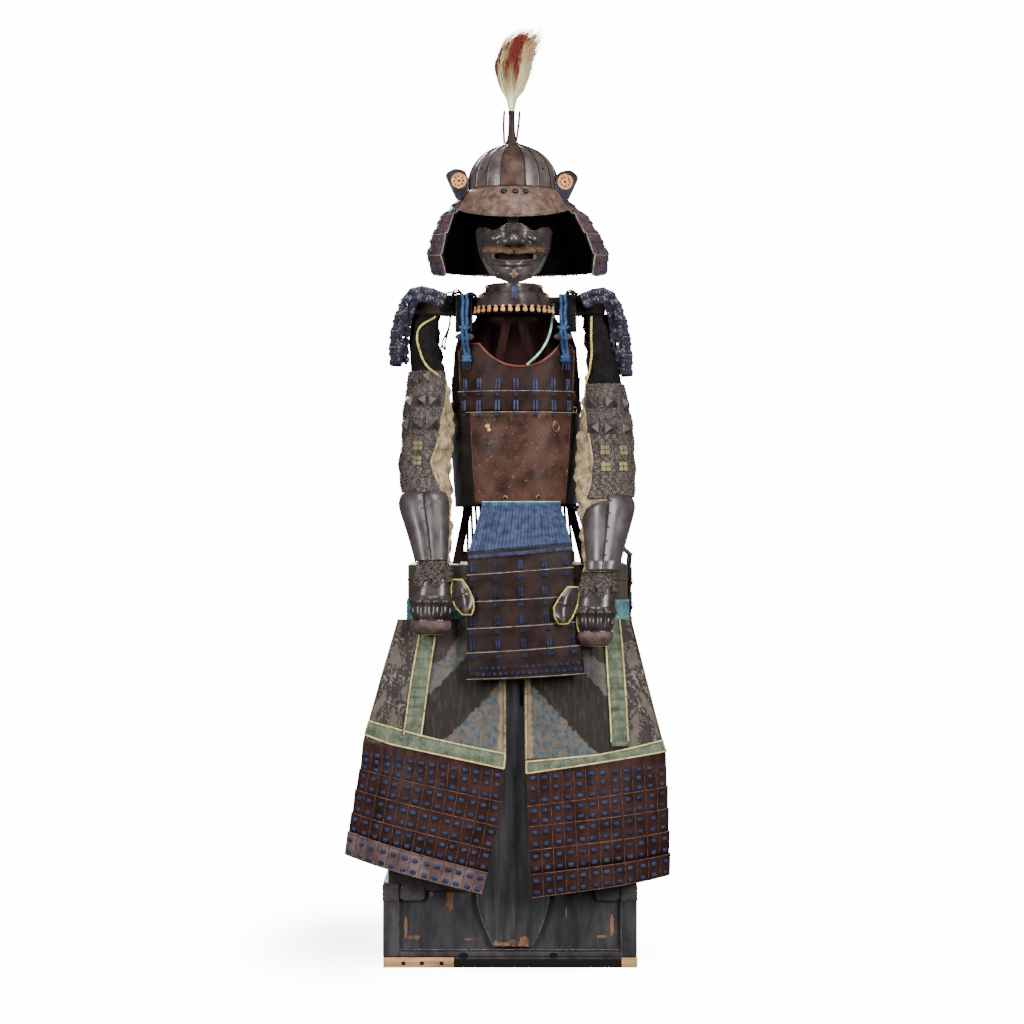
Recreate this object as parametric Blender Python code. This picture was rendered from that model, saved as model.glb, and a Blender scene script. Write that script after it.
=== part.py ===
"""Japanese lacquered iron armour set out on its wooden chest and frame.

Metres, +Z up. The armour faces -Y and +X is to a viewer's right. The origin is on the floor,
under the middle of the chest.
"""
import math
from collections import namedtuple

import bmesh
import bpy
from mathutils import Matrix, Vector

GAP = 0.0003
IRON = 0.0018
CLOTH = 0.0022

CHEST_HALF_WIDTH = 0.271
CHEST_FRONT = -0.165
CHEST_BACK = 0.235
CHEST_BASE_TOP = 0.183
CHEST_TOP = 0.861
CHEST_WALL = 0.014
CHEST_FLOOR = 0.012
RAIL_RISE = 0.012
LID_MIDDLE = 0.017
LID_HALF_WIDTH = 0.235

BAR_BOTTOM = 1.406
BAR_TOP = 1.446
BAR_HALF_DEPTH = 0.0125

TORSO_MIDDLE = 0.013
TORSO_TOP = 1.40
BREAST_TOP = 1.338
BREAST_BOTTOM = 1.235
LAME_BOTTOM = 1.189
CUIRASS_BOTTOM = 0.991

HEAD_MIDDLE = 0.0066
BOWL_BASE = 1.686
BOWL_HEIGHT = 0.095
BOWL_HALF_WIDTH = 0.097
BOWL_HALF_DEPTH = 0.112

Ring = namedtuple("Ring", "z cx cy rx ry")
Line = namedtuple("Line", "left_x left_z right_x right_z left_y right_y bulge")
Edge = namedtuple("Edge", "left_x left_z right_x right_z")
Slice = namedtuple("Slice", "z cx half edge_y bulge")

BLACK_LACQUER = ("black_lacquer", (0.012, 0.011, 0.014), 0.28, 0.2)
RUSSET_IRON = ("russet_iron", (0.075, 0.052, 0.045), 0.42, 0.5)
RED_LACQUER = ("red_lacquer", (0.11, 0.022, 0.014), 0.4, 0.0)
BROWN_LEATHER = ("brown_leather", (0.115, 0.038, 0.022), 0.5, 0.0)
BLUE_LACING = ("blue_lacing", (0.03, 0.055, 0.2), 0.8, 0.0)
DARK_CLOTH = ("dark_cloth", (0.03, 0.027, 0.025), 0.9, 0.0)
MAIL_CLOTH = ("mail_cloth", (0.12, 0.1, 0.085), 0.75, 0.3)
HEMP_CLOTH = ("hemp_cloth", (0.14, 0.125, 0.1), 0.9, 0.0)
BROCADE = ("green_brocade", (0.14, 0.2, 0.16), 0.85, 0.0)
BELT_CLOTH = ("belt_cloth", (0.08, 0.24, 0.27), 0.85, 0.0)
DARK_WOOD = ("dark_wood", (0.035, 0.035, 0.04), 0.55, 0.0)
BROWN_WOOD = ("brown_wood", (0.09, 0.045, 0.03), 0.5, 0.0)
HORSE_HAIR = ("horse_hair", (0.55, 0.42, 0.25), 0.6, 0.0)


def clear_scene():
    for old in list(bpy.data.objects):
        bpy.data.objects.remove(old, do_unlink=True)


def finish_for(look):
    name, colour, roughness, metallic = look
    found = bpy.data.materials.get(name)
    if found:
        return found
    made = bpy.data.materials.new(name)
    made.use_nodes = True
    shader = made.node_tree.nodes["Principled BSDF"]
    shader.inputs["Base Color"].default_value = (*colour, 1.0)
    shader.inputs["Roughness"].default_value = roughness
    shader.inputs["Metallic"].default_value = metallic
    return made


def add_part(name, bm, look):
    mesh = bpy.data.meshes.new(name)
    bm.to_mesh(mesh)
    bm.free()
    mesh.materials.append(finish_for(look))
    part = bpy.data.objects.new(name, mesh)
    bpy.context.scene.collection.objects.link(part)
    return part


def spread(start, end, count):
    """count + 1 evenly spaced values from start to end."""
    return [start + (end - start) * i / count for i in range(count + 1)]


def between(table, place):
    """A row of a table of equal named tuples, interpolated at a fractional row number."""
    place = min(max(place, 0.0), len(table) - 1.0)
    low = min(int(place), len(table) - 2)
    part = place - low
    pairs = zip(table[low], table[low + 1])
    return type(table[0])(*[a + (b - a) * part for a, b in pairs])


def at_height(table, z):
    """A ring of a table listed from the top down, interpolated at height z."""
    for number in range(len(table) - 1):
        upper = table[number].z
        lower = table[number + 1].z
        if z >= lower or number == len(table) - 2:
            return between(table, number + min(max((upper - z) / (upper - lower), 0.0), 1.0))
    return table[-1]


def on_ring(ring, degrees):
    """A point of an upright ring. 0 degrees is the front, 90 is the viewer's right."""
    turn = math.radians(degrees)
    return Vector((ring.cx + ring.rx * math.sin(turn), ring.cy - ring.ry * math.cos(turn), ring.z))


def surface(point, across_step, down_step):
    """Wrap point(u, v), u to the right and v down seen from outside, so it can be moved out."""
    def moved(u, v, out=0.0):
        here = point(u, v)
        if out == 0.0:
            return here
        across = point(u + across_step, v) - point(u - across_step, v)
        down = point(u, v + down_step) - point(u, v - down_step)
        return here + down.cross(across).normalized() * out
    return moved


def wall(name, rows, thickness, look, closed=False, skip=(), raised=(), height=0.0):
    """A sheet through rows of points, listed downwards and to the right, thickened inwards."""
    bm = bmesh.new()
    grid = [[bm.verts.new(p) for p in row] for row in rows]
    columns = len(rows[0]) if closed else len(rows[0]) - 1
    peaks = []
    for r in range(len(rows) - 1):
        for c in range(columns):
            if (r, c) in skip:
                continue
            n = (c + 1) % len(rows[0])
            face = bm.faces.new((grid[r][c], grid[r + 1][c], grid[r + 1][n], grid[r][n]))
            if (r, c) in raised:
                peaks.append(face)
    bm.normal_update()
    if peaks:
        bmesh.ops.poke(bm, faces=peaks, offset=height)
    loose = [v for v in bm.verts if not v.link_faces]
    bmesh.ops.delete(bm, geom=loose, context="VERTS")
    part = add_part(name, bm, look)
    part.data.shade_smooth()
    part.data.set_sharp_from_angle(angle=math.radians(35))
    thick = part.modifiers.new("thickness", "SOLIDIFY")
    thick.thickness = thickness
    thick.offset = -1.0
    thick.use_even_offset = False
    return part


def panel(name, skin, across, down, thickness, look, out=0.0, **more):
    """A wall over the values across and down of a surface, moved out."""
    rows = [[skin(u, v, out) for u in across] for v in down]
    return wall(name, rows, thickness, look, **more)


def shingled(name, skin, across, lames, proud, thickness, look, out=0.0, first=None, above=()):
    """Laced lames in one wall: the top of each stands proud of the foot of the one above."""
    rows = list(above)
    for lame in range(lames):
        rise = first if lame == 0 and first is not None else proud
        rows.append([skin(u, lame, out + rise) for u in across])
        rows.append([skin(u, lame + 1.0, out) for u in across])
    return wall(name, rows, thickness, look)


def block(name, low, high, look, bevel=0.0):
    bm = bmesh.new()
    bmesh.ops.create_cube(bm, size=1.0)
    size = [b - a for a, b in zip(low, high)]
    middle = [(a + b) / 2 for a, b in zip(low, high)]
    bmesh.ops.scale(bm, vec=size, verts=bm.verts)
    bmesh.ops.translate(bm, vec=middle, verts=bm.verts)
    part = add_part(name, bm, look)
    if bevel:
        soft = part.modifiers.new("eased_edges", "BEVEL")
        soft.width = bevel
        soft.segments = 1
    return part


def extruded(name, outline, y_front, y_back, look):
    """A board whose outline of (x, z) points runs anticlockwise seen from the front."""
    bm = bmesh.new()
    face = bm.faces.new([bm.verts.new((x, y_front, z)) for x, z in outline])
    pulled = bmesh.ops.extrude_face_region(bm, geom=[face])
    moved = [v for v in pulled["geom"] if isinstance(v, bmesh.types.BMVert)]
    bmesh.ops.translate(bm, vec=(0.0, y_back - y_front, 0.0), verts=moved)
    bmesh.ops.recalc_face_normals(bm, faces=bm.faces)
    return add_part(name, bm, look)


def smooth_route(points, count):
    """count + 1 points on a smooth curve through the given ones."""
    route = [Vector(p) for p in points]
    ends = [route[0] * 2 - route[1]] + route + [route[-1] * 2 - route[-2]]
    made = []
    for i in range(count + 1):
        place = i / count * (len(route) - 1)
        k = min(int(place), len(route) - 2)
        t = place - k
        a, b, c, d = ends[k:k + 4]
        made.append(0.5 * (2 * b + (c - a) * t + (2 * a - 5 * b + 4 * c - d) * t * t
                           + (3 * b - a - 3 * c + d) * t ** 3))
    return made


def tube(name, points, radius, look):
    curve = bpy.data.curves.new(name, "CURVE")
    curve.dimensions = "3D"
    curve.bevel_depth = radius
    curve.bevel_resolution = 2
    curve.use_fill_caps = True
    spline = curve.splines.new("POLY")
    spline.points.add(len(points) - 1)
    for spot, place in zip(spline.points, points):
        spot.co = (*place, 1.0)
    curve.materials.append(finish_for(look))
    part = bpy.data.objects.new(name, curve)
    bpy.context.scene.collection.objects.link(part)
    return part


def strands(name, tops, bottoms, width, depth, bar_height, look):
    """A row of hanging flat cords whose roots are one bar."""
    bm = bmesh.new()
    half = len(tops) * 2
    ring_front = []
    ring_back = []
    for top in tops:
        for side in (-width / 2, width / 2):
            ring_front.append(bm.verts.new((top[0] + side, top[1], top[2])))
            ring_back.append(bm.verts.new((top[0] + side, top[1] + depth, top[2])))
    high_front = [bm.verts.new(v.co + Vector((0, 0, bar_height))) for v in ring_front]
    high_back = [bm.verts.new(v.co + Vector((0, 0, bar_height))) for v in ring_back]
    for i in range(half - 1):
        bm.faces.new((ring_front[i], ring_front[i + 1], high_front[i + 1], high_front[i]))
        bm.faces.new((ring_back[i + 1], ring_back[i], high_back[i], high_back[i + 1]))
        bm.faces.new((high_front[i], high_front[i + 1], high_back[i + 1], high_back[i]))
        if i % 2:
            bm.faces.new((ring_back[i], ring_back[i + 1], ring_front[i + 1], ring_front[i]))
    last = half - 1
    bm.faces.new((ring_front[0], high_front[0], high_back[0], ring_back[0]))
    bm.faces.new((ring_front[last], ring_back[last], high_back[last], high_front[last]))
    for number, foot in enumerate(bottoms):
        left = number * 2
        upper = (ring_front[left], ring_front[left + 1], ring_back[left + 1], ring_back[left])
        shifts = ((-width / 2, 0), (width / 2, 0), (width / 2, depth), (-width / 2, depth))
        lower = [bm.verts.new((foot[0] + dx, foot[1] + dy, foot[2])) for dx, dy in shifts]
        for i in range(4):
            n = (i + 1) % 4
            bm.faces.new((upper[i], lower[i], lower[n], upper[n]))
        bm.faces.new((lower[0], lower[3], lower[2], lower[1]))
    bmesh.ops.recalc_face_normals(bm, faces=bm.faces)
    return add_part(name, bm, look)


# Wooden chest, plank and frame

def make_chest():
    half = CHEST_HALF_WIDTH
    lid_low = LID_MIDDLE - LID_HALF_WIDTH
    lid_high = LID_MIDDLE + LID_HALF_WIDTH
    open_box("chest_base", (-half, CHEST_FRONT, 0.0), (half, CHEST_BACK, CHEST_BASE_TOP), True)
    body_half = half - 0.011
    body_top = 0.52
    open_box("chest_body", (-body_half, CHEST_FRONT, CHEST_BASE_TOP + GAP),
             (body_half, CHEST_BACK, body_top), False)
    open_box("chest_top", (lid_low, CHEST_FRONT, body_top + GAP),
             (lid_high, CHEST_BACK, CHEST_TOP), False)


def open_box(name, low, high, base):
    """A chest tier: the base is open at the top, the others below. The base has a panelled front."""
    bm = bmesh.new()
    bmesh.ops.create_cube(bm, size=1.0)
    size = [b - a for a, b in zip(low, high)]
    middle = [(a + b) / 2 for a, b in zip(low, high)]
    bmesh.ops.scale(bm, vec=size, verts=bm.verts)
    bmesh.ops.translate(bm, vec=middle, verts=bm.verts)
    bm.faces.ensure_lookup_table()
    mouth = max(bm.faces, key=lambda f: f.normal.z * (1 if base else -1))
    bmesh.ops.inset_region(bm, faces=[mouth], thickness=CHEST_WALL)
    depth = size[2] - (CHEST_FLOOR if base else CHEST_WALL)
    pulled = bmesh.ops.extrude_face_region(bm, geom=[mouth])
    moved = [v for v in pulled["geom"] if isinstance(v, bmesh.types.BMVert)]
    bmesh.ops.translate(bm, vec=(0, 0, -depth if base else depth), verts=moved)
    if mouth.is_valid:
        bmesh.ops.delete(bm, geom=[mouth], context="FACES")
    if base:
        bm.normal_update()
        front = [f for f in bm.faces if f.normal.y < -0.9 and f.calc_center_median().y < low[1] + 0.001]
        bmesh.ops.inset_region(bm, faces=front, thickness=0.026)
        for corner in front[0].verts:
            if corner.co.z < CHEST_BASE_TOP / 2:
                corner.co.z += RAIL_RISE
        bmesh.ops.inset_region(bm, faces=front, thickness=0.006, depth=-0.006)
    bmesh.ops.recalc_face_normals(bm, faces=bm.faces)
    part = add_part(name, bm, DARK_WOOD)
    if base:
        for number, x in enumerate((-0.099, 0.093)):
            cut_rope_hole(part, number, x)
    return part


def cut_rope_hole(part, number, x):
    """An oval hole for the carrying rope, through the front rail."""
    bm = bmesh.new()
    bmesh.ops.create_cone(bm, cap_ends=True, segments=10, radius1=1.0, radius2=1.0, depth=0.03)
    bmesh.ops.scale(bm, vec=(0.0095, 0.006, 1.0), verts=bm.verts)
    bmesh.ops.rotate(bm, matrix=Matrix.Rotation(math.pi / 2, 3, "X"), verts=bm.verts)
    bmesh.ops.translate(bm, vec=(x, CHEST_FRONT + 0.006, 0.0262), verts=bm.verts)
    cutter = add_part("rope_hole_%d" % (number + 1), bm, DARK_WOOD)
    cutter.hide_render = True
    cutter.display_type = "WIRE"
    cut = part.modifiers.new("rope_hole", "BOOLEAN")
    cut.operation = "DIFFERENCE"
    cut.object = cutter


def make_plank():
    outline = (
        (-0.036, 0.046), (0.053, 0.046), (0.085, 0.118), (0.087, 0.165), (0.036, 0.555),
        (0.022, 0.560), (0.022, 0.72), (-0.008, 0.72), (-0.008, 0.560), (-0.022, 0.555),
        (-0.073, 0.165), (-0.070, 0.118),
    )
    back = CHEST_FRONT - GAP
    extruded("front_plank", outline, back - 0.006, back, DARK_WOOD)


def make_frame():
    block("crossbar", (-0.22, -BAR_HALF_DEPTH, BAR_BOTTOM), (0.209, BAR_HALF_DEPTH, BAR_TOP),
          BROWN_WOOD, 0.004)
    post = 0.013
    block("head_post", (HEAD_MIDDLE - post, -post, BAR_TOP + GAP),
          (HEAD_MIDDLE + post, post, 1.7766), BROWN_WOOD, 0.003)
    for side, foot, head in (("left", -0.118, -0.004), ("right", 0.165, 0.022)):
        width = 0.009
        outline = ((foot - width, CHEST_TOP + GAP), (foot + width, CHEST_TOP + GAP),
                   (head + width, BAR_BOTTOM - GAP), (head - width, BAR_BOTTOM - GAP))
        extruded("leg_" + side, outline, -0.008, 0.008, RED_LACQUER)


# Helmet

BOWL_PROFILE = (
    # height and radius as shares of the bowl's own
    (1.00, 0.13), (0.96, 0.30), (0.87, 0.52), (0.71, 0.73), (0.50, 0.89), (0.25, 0.98),
    (0.0, 1.0), (-0.02, 1.022), (-0.184, 1.022),
)
PLATES = 18
FRONT_PLATE = 31.0


def bowl_angles():
    """Rib, plate middle, rib, and so on round the bowl, with a wider plate in front."""
    pitch = (360.0 - FRONT_PLATE) / (PLATES - 1)
    made = [-FRONT_PLATE / 2, 0.0]
    for rib in range(PLATES - 1):
        made.append(FRONT_PLATE / 2 + rib * pitch)
        made.append(FRONT_PLATE / 2 + (rib + 0.5) * pitch)
    return made


def make_bowl():
    rows = []
    for height, radius in BOWL_PROFILE:
        row = []
        for number, degrees in enumerate(bowl_angles()):
            rib = 0.002 if number % 2 == 0 and 0.0 <= height < 1.0 else 0.0
            ring = Ring(BOWL_BASE + BOWL_HEIGHT * height, HEAD_MIDDLE, -0.01,
                        BOWL_HALF_WIDTH * radius + rib, BOWL_HALF_DEPTH * radius + rib)
            row.append(on_ring(ring, degrees))
        rows.append(row)
    wall("helmet_bowl", rows, 0.002, RUSSET_IRON, closed=True)


def make_brim():
    reach = 64.0
    band = 1.022
    clear = 0.0023
    rows = []
    for share in spread(0.0, 1.0, 3):
        row = []
        for degrees in spread(-reach, reach, 14):
            turn = math.cos(math.radians(degrees))
            inner = on_ring(Ring(1.676, HEAD_MIDDLE, -0.01, BOWL_HALF_WIDTH * band + clear,
                                 BOWL_HALF_DEPTH * band + clear), degrees)
            outer = on_ring(Ring(1.647 - 0.041 * turn, HEAD_MIDDLE, -0.01, 0.131, 0.160), degrees)
            lift = 0.006 * math.sin(math.pi * share)
            row.append(inner.lerp(outer, share) + Vector((0, -lift, lift)))
        rows.append(row)
    wall("helmet_brim", rows, 0.0022, RUSSET_IRON)


NECK_LINES = (
    Ring(1.6735, HEAD_MIDDLE, -0.010, 0.1018, 0.1172),
    Ring(1.658, 0.005, -0.010, 0.118, 0.132),
    Ring(1.622, 0.009, -0.010, 0.160, 0.158),
    Ring(1.580, 0.013, -0.010, 0.182, 0.174),
    Ring(1.535, 0.017, -0.010, 0.198, 0.186),
    Ring(1.488, 0.020, -0.010, 0.192, 0.188),
)


def make_neck_guard():
    skin = surface(lambda u, v: on_ring(between(NECK_LINES, v), u), 1.0, 0.05)
    shingled("neck_guard", skin, spread(72.0, 288.0, 20), 5, 0.0035, IRON, BLACK_LACQUER, first=0.0)


def make_turn_backs():
    # left plate as x, z corners; the right one is its own size
    left = ((-0.141, 1.709), (-0.115, 1.6535), (-0.097, 1.662), (-0.090, 1.690),
            (-0.098, 1.716), (-0.120, 1.721))
    right = ((0.105, 1.712), (0.098, 1.690), (0.103, 1.660), (0.124, 1.6495),
             (0.149, 1.703), (0.131, 1.718))
    for side, outline in (("left", left), ("right", right)):
        extruded("turn_back_" + side, outline, -0.0555, -0.0535, BLACK_LACQUER)


def make_crest():
    rows = []
    for z, radius in ((1.853, 0.0068), (1.838, 0.0068), (1.80, 0.0085), (1.7815, 0.0145)):
        ring = Ring(z, HEAD_MIDDLE - 0.003, -0.01, radius, radius)
        rows.append([on_ring(ring, d) for d in spread(0, 330, 11)])
    wall("crest_tube", rows, 0.0015, RUSSET_IRON, closed=True)


def make_plume():
    """Locks of hair that rise from one root disc, fanned out and leaning to the right."""
    side = 6
    root = 0.0052
    bm = bmesh.new()
    bmesh.ops.create_grid(bm, x_segments=side, y_segments=side, size=root)
    base = bmesh.ops.extrude_face_region(bm, geom=list(bm.faces))
    tops = [g for g in base["geom"] if isinstance(g, bmesh.types.BMFace)]
    bmesh.ops.translate(bm, vec=(0, 0, 0.004),
                        verts=[g for g in base["geom"] if isinstance(g, bmesh.types.BMVert)])
    for number, lock in enumerate(tops):
        middle = lock.calc_center_median()
        fan = Vector((middle.x, middle.y, 0.0)) / root
        wave = math.sin(number * 2.4)
        stations = (
            (0.092, Vector((fan.x * 0.031 + 0.001, fan.y * 0.028, 0.0)), 4.0),
            (0.170 + 0.016 * wave, Vector((fan.x * 0.038 + 0.022, fan.y * 0.034, 0.0)), 0.15),
        )
        bmesh.ops.inset_individual(bm, faces=[lock], thickness=0.0001)
        for height, drift, grow in stations:
            pulled = bmesh.ops.extrude_discrete_faces(bm, faces=[lock])
            lock = pulled["faces"][0]
            target = Vector((middle.x, middle.y, 0.004)) + drift + Vector((0, 0, height))
            bmesh.ops.translate(bm, vec=target - lock.calc_center_median(), verts=lock.verts)
            size = grow / max(1e-6, (lock.verts[0].co - target).length / 0.00105)
            bmesh.ops.scale(bm, vec=(size, size, 1.0), space=Matrix.Translation(-target), verts=lock.verts)
    bmesh.ops.translate(bm, vec=(HEAD_MIDDLE - 0.003, -0.01, 1.853 + GAP), verts=bm.verts)
    bmesh.ops.recalc_face_normals(bm, faces=bm.faces)
    add_part("plume", bm, HORSE_HAIR)


# Face and throat

def mask_point(u, v):
    """A half mask: u is degrees round from the front, v from 0 at the bridge to 1 at the chin."""
    turn = math.radians(u)
    narrow = 1.0 - 0.36 * v ** 2.2
    x = 0.083 * narrow * math.sin(turn)
    y = -0.118 + 0.100 * (1.0 - math.cos(turn)) + 0.022 * max(0.0, v - 0.6) - 0.01 * v
    z = 1.596 - 0.128 * v * (1.0 - 0.22 * math.sin(min(abs(turn), 1.5)) ** 2)
    z -= 0.012 * (1.0 - v) * math.sin(turn) ** 2
    nose = math.exp(-(x / 0.014) ** 2) * math.exp(-((v - 0.24) / 0.17) ** 2)
    wings = math.exp(-((abs(x) - 0.017) / 0.009) ** 2) * math.exp(-((v - 0.33) / 0.07) ** 2)
    cheek = math.exp(-((abs(x) - 0.046) / 0.017) ** 2) * math.exp(-((v - 0.22) / 0.16) ** 2)
    lip = math.exp(-(x / 0.036) ** 2) * math.exp(-((v - 0.70) / 0.045) ** 2)
    chin = math.exp(-(x / 0.026) ** 2) * math.exp(-((v - 0.88) / 0.09) ** 2)
    y -= 0.030 * nose + 0.010 * wings + 0.013 * cheek + 0.007 * lip + 0.012 * chin
    return Vector((HEAD_MIDDLE + 0.002 + x, y, z))


def make_face_guard():
    skin = surface(mask_point, 2.0, 0.03)
    across = [-92, -74, -58, -44, -32, -22, -13, -6, 0, 6, 13, 22, 32, 44, 58, 74, 92]
    down = [0.0, 0.1, 0.2, 0.3, 0.39, 0.47, 0.55, 0.62, 0.70, 0.80, 0.90, 1.0]
    mouth = {(r, c) for r in (5, 6) for c in range(4, 12)}
    panel("face_guard", skin, across, down, IRON, RUSSET_IRON, skip=mouth)


THROAT_LINES = (
    Ring(1.4665, HEAD_MIDDLE + 0.002, 0.0, 0.060, 0.1206),
    Ring(1.4500, HEAD_MIDDLE + 0.002, 0.0, 0.074, 0.128),
    Ring(1.4180, HEAD_MIDDLE + 0.002, 0.0, 0.092, 0.140),
    Ring(1.3995, HEAD_MIDDLE + 0.002, 0.0, 0.090, 0.137),
)


def make_throat_guard():
    skin = surface(lambda u, v: on_ring(between(THROAT_LINES, v), u), 1.0, 0.05)
    shingled("throat_guard", skin, spread(-68.0, 68.0, 12), 2, 0.003, IRON, BLACK_LACQUER)
    knots = 13
    places = spread(-66.0, 66.0, knots * 2 + 1)
    foot = [skin(u, 2.0, 0.0) for u in places]
    rows = []
    for drop in (0.0004, 0.0070, 0.0132):
        row = []
        for number, point in enumerate(foot):
            knot = 0.003 if drop == 0.0070 and number % 2 else 0.0
            away = (point - Vector((HEAD_MIDDLE, 0.0, point.z))).normalized()
            row.append(point + away * knot - Vector((0, 0, drop)))
        rows.append(row)
    wall("throat_knots", rows, 0.002, HORSE_HAIR)


def make_collar():
    """Cloth behind the throat guard, a little wider and longer than its lames."""
    skin = surface(lambda u, v: on_ring(between(THROAT_LINES, v), u), 1.0, 0.05)
    across = [-78.0] + spread(-68.0, 68.0, 12)
    panel("collar_cloth", skin, across, (0.08, 1.0, 2.0, 3.0), CLOTH, DARK_CLOTH, out=-IRON - 0.0006)


def make_face_cord():
    behind = 0.013 + 0.0025
    route = ((-0.0650, -0.0235, 1.548), (-0.045, 0.002, 1.548), (HEAD_MIDDLE - 0.016, behind, 1.548),
             (HEAD_MIDDLE + 0.016, behind, 1.548), (0.062, 0.002, 1.548), (0.0822, -0.0235, 1.548))
    tube("face_cord", smooth_route(route, 16), 0.003, BLUE_LACING)


# Cuirass

TORSO_RINGS = (
    Ring(1.400, TORSO_MIDDLE, 0.0, 0.124, 0.104),
    Ring(1.338, TORSO_MIDDLE, 0.0, 0.142, 0.114),
    Ring(1.235, TORSO_MIDDLE, 0.0, 0.142, 0.120),
    Ring(1.189, TORSO_MIDDLE, 0.0, 0.143, 0.120),
    Ring(1.080, TORSO_MIDDLE, 0.0, 0.141, 0.118),
    Ring(0.980, TORSO_MIDDLE, 0.0, 0.134, 0.112),
)
torso = surface(lambda u, v: on_ring(at_height(TORSO_RINGS, TORSO_TOP - v), u), 1.0, 0.004)


def torso_rows(across, tops, bottom, count, out=0.0):
    """Rows from a top height for each column to one bottom height."""
    return [[torso(u, TORSO_TOP - (top + (bottom - top) * share), out) for u, top in zip(across, tops)]
            for share in spread(0.0, 1.0, count)]


def neck_curve(degrees):
    """Height of the breastplate's top edge: level at the corners, dipped in the middle."""
    share = min(abs(degrees - 4.0) / 38.0, 1.0)
    return BREAST_TOP - 0.05 * (1.0 - share ** 2.2)


def back_curve(degrees):
    """Height of the back plate's top edge: level at the shoulders, lower at the arms."""
    off = abs(degrees - 180.0)
    if off < 66.0:
        return 1.390
    return 1.390 - 0.12 * min((off - 66.0) / 12.0, 1.0)


def make_cuirass():
    proud = 0.003
    behind = -(IRON + 0.0006)
    columns = spread(-58.0, 60.0, 16)
    rows = torso_rows(columns, [neck_curve(u) for u in columns], BREAST_BOTTOM - 0.006, 4)
    wall("breast_plate", rows, IRON, BROWN_LEATHER)
    columns = spread(-56.0, 60.0, 14)
    rows = [[torso(u, TORSO_TOP - BREAST_BOTTOM, proud) for u in columns],
            [torso(u, TORSO_TOP - LAME_BOTTOM + 0.004, 0.0) for u in columns]]
    wall("breast_lame", rows, IRON, BROWN_LEATHER)
    columns = spread(-43.5, 55.0, 12)
    rows = [[torso(u, TORSO_TOP - LAME_BOTTOM, proud) for u in columns]]
    rows += [[torso(u, TORSO_TOP - z, 0.0) for u in columns] for z in (1.165, 1.08, CUIRASS_BOTTOM)]
    wall("front_plate", rows, IRON, BROWN_LEATHER)
    for side, start, end in (("left", -101.0, -38.0), ("right", 49.0, 101.0)):
        columns = spread(start, end, 6)
        tops = [1.214 + 0.022 * math.sin(math.radians(min(max(abs(u) - 42.0, 0.0), 30.0) * 6)) for u in columns]
        wall("side_plate_" + side, torso_rows(columns, tops, 0.985, 3, behind), IRON, BLACK_LACQUER)
    columns = [95.0] + spread(102.0, 110.0, 1) + spread(114.0, 246.0, 10) + [250.0, 258.0, 265.0]
    rows = torso_rows(columns, [back_curve(u) for u in columns], 0.985, 5)
    wall("back_plate", rows, IRON, BLACK_LACQUER)


STRAP_PATH = (
    # y and z of a shoulder strap's outer face, from the back plate over the bar to the front
    (0.0500, 1.3906), (0.0490, 1.425), (0.0330, 1.446), (0.0130, 1.4506), (-0.0130, 1.4506),
    (-0.0350, 1.438), (-0.0600, 1.405), (-0.0780, 1.365),
)


def make_shoulders():
    places = (("left", -0.117, -0.084, -0.0985, -0.0855), ("right", 0.110, 0.143, 0.1155, -0.0830))
    for side, low, high, toggle_x, rest_y in places:
        rows = [[Vector((x, y, z)) for x in (low, (low + high) / 2, high)] for y, z in STRAP_PATH]
        wall("shoulder_strap_" + side, rows, 0.004, BLACK_LACQUER)
        bm = bmesh.new()
        bmesh.ops.create_uvsphere(bm, u_segments=8, v_segments=6, radius=0.0085)
        bmesh.ops.scale(bm, vec=(2.4, 1.0, 1.0), verts=bm.verts)
        bmesh.ops.translate(bm, vec=(toggle_x, -0.0885, 1.3534), verts=bm.verts)
        add_part("toggle_" + side, bm, BLACK_LACQUER)
        route = ((toggle_x - 0.002, -0.0350, 1.4475), (toggle_x, -0.0420, 1.4435), (toggle_x, -0.0690, 1.411),
                 (toggle_x, -0.0890, 1.378), (toggle_x, -0.1037, 1.3534),
                 (toggle_x + 0.004, rest_y - 0.006, 1.325), (toggle_x + 0.006, rest_y, 1.293))
        tube("shoulder_cord_" + side, smooth_route(route, 16), 0.006, BLUE_LACING)


# Skirt panels and their suspension

SKIRT_LINES = (
    Line(-0.0890, 0.8914, 0.1314, 0.9125, -0.200, -0.200, 0.026),
    Line(-0.0893, 0.8426, 0.1335, 0.8596, -0.206, -0.206, 0.028),
    Line(-0.0897, 0.7854, 0.1360, 0.7981, -0.208, -0.208, 0.029),
    Line(-0.0900, 0.7282, 0.1420, 0.7430, -0.210, -0.210, 0.030),
    Line(-0.0905, 0.6773, 0.1500, 0.6943, -0.211, -0.211, 0.030),
    Line(-0.0911, 0.6180, 0.1590, 0.6307, -0.212, -0.212, 0.030),
)


def hanging_panel(lines, lean=None):
    """A point function of a curved hanging panel between lines that run left to right."""
    def point(u, v):
        line = between(lines, v)
        x = line.left_x + (line.right_x - line.left_x) * u
        z = line.left_z + (line.right_z - line.left_z) * u
        share = lean(u) if lean else u
        y = line.left_y + (line.right_y - line.left_y) * share - line.bulge * math.sin(math.pi * u)
        return Vector((x, y, z))
    return surface(point, 0.01, 0.02)


def make_front_skirt():
    skin = hanging_panel(SKIRT_LINES)
    shingled("front_skirt", skin, spread(0.0, 1.0, 9), 5, 0.004, IRON, BROWN_LEATHER)
    cords = 24
    tops = []
    bottoms = []
    for number in range(cords):
        share = number / (cords - 1)
        degrees = -31.0 + 74.0 * share
        top = torso(degrees, TORSO_TOP - CUIRASS_BOTTOM, -0.0002)
        foot = skin(0.04 + 0.92 * share, 0.0, 0.002)
        tops.append((top.x, top.y, top.z - 0.0085))
        bottoms.append((foot.x, foot.y, foot.z + 0.0004 + 0.0004))
    strands("front_suspension", tops, bottoms, 0.0034, 0.0025, 0.008, BLUE_LACING)


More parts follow.
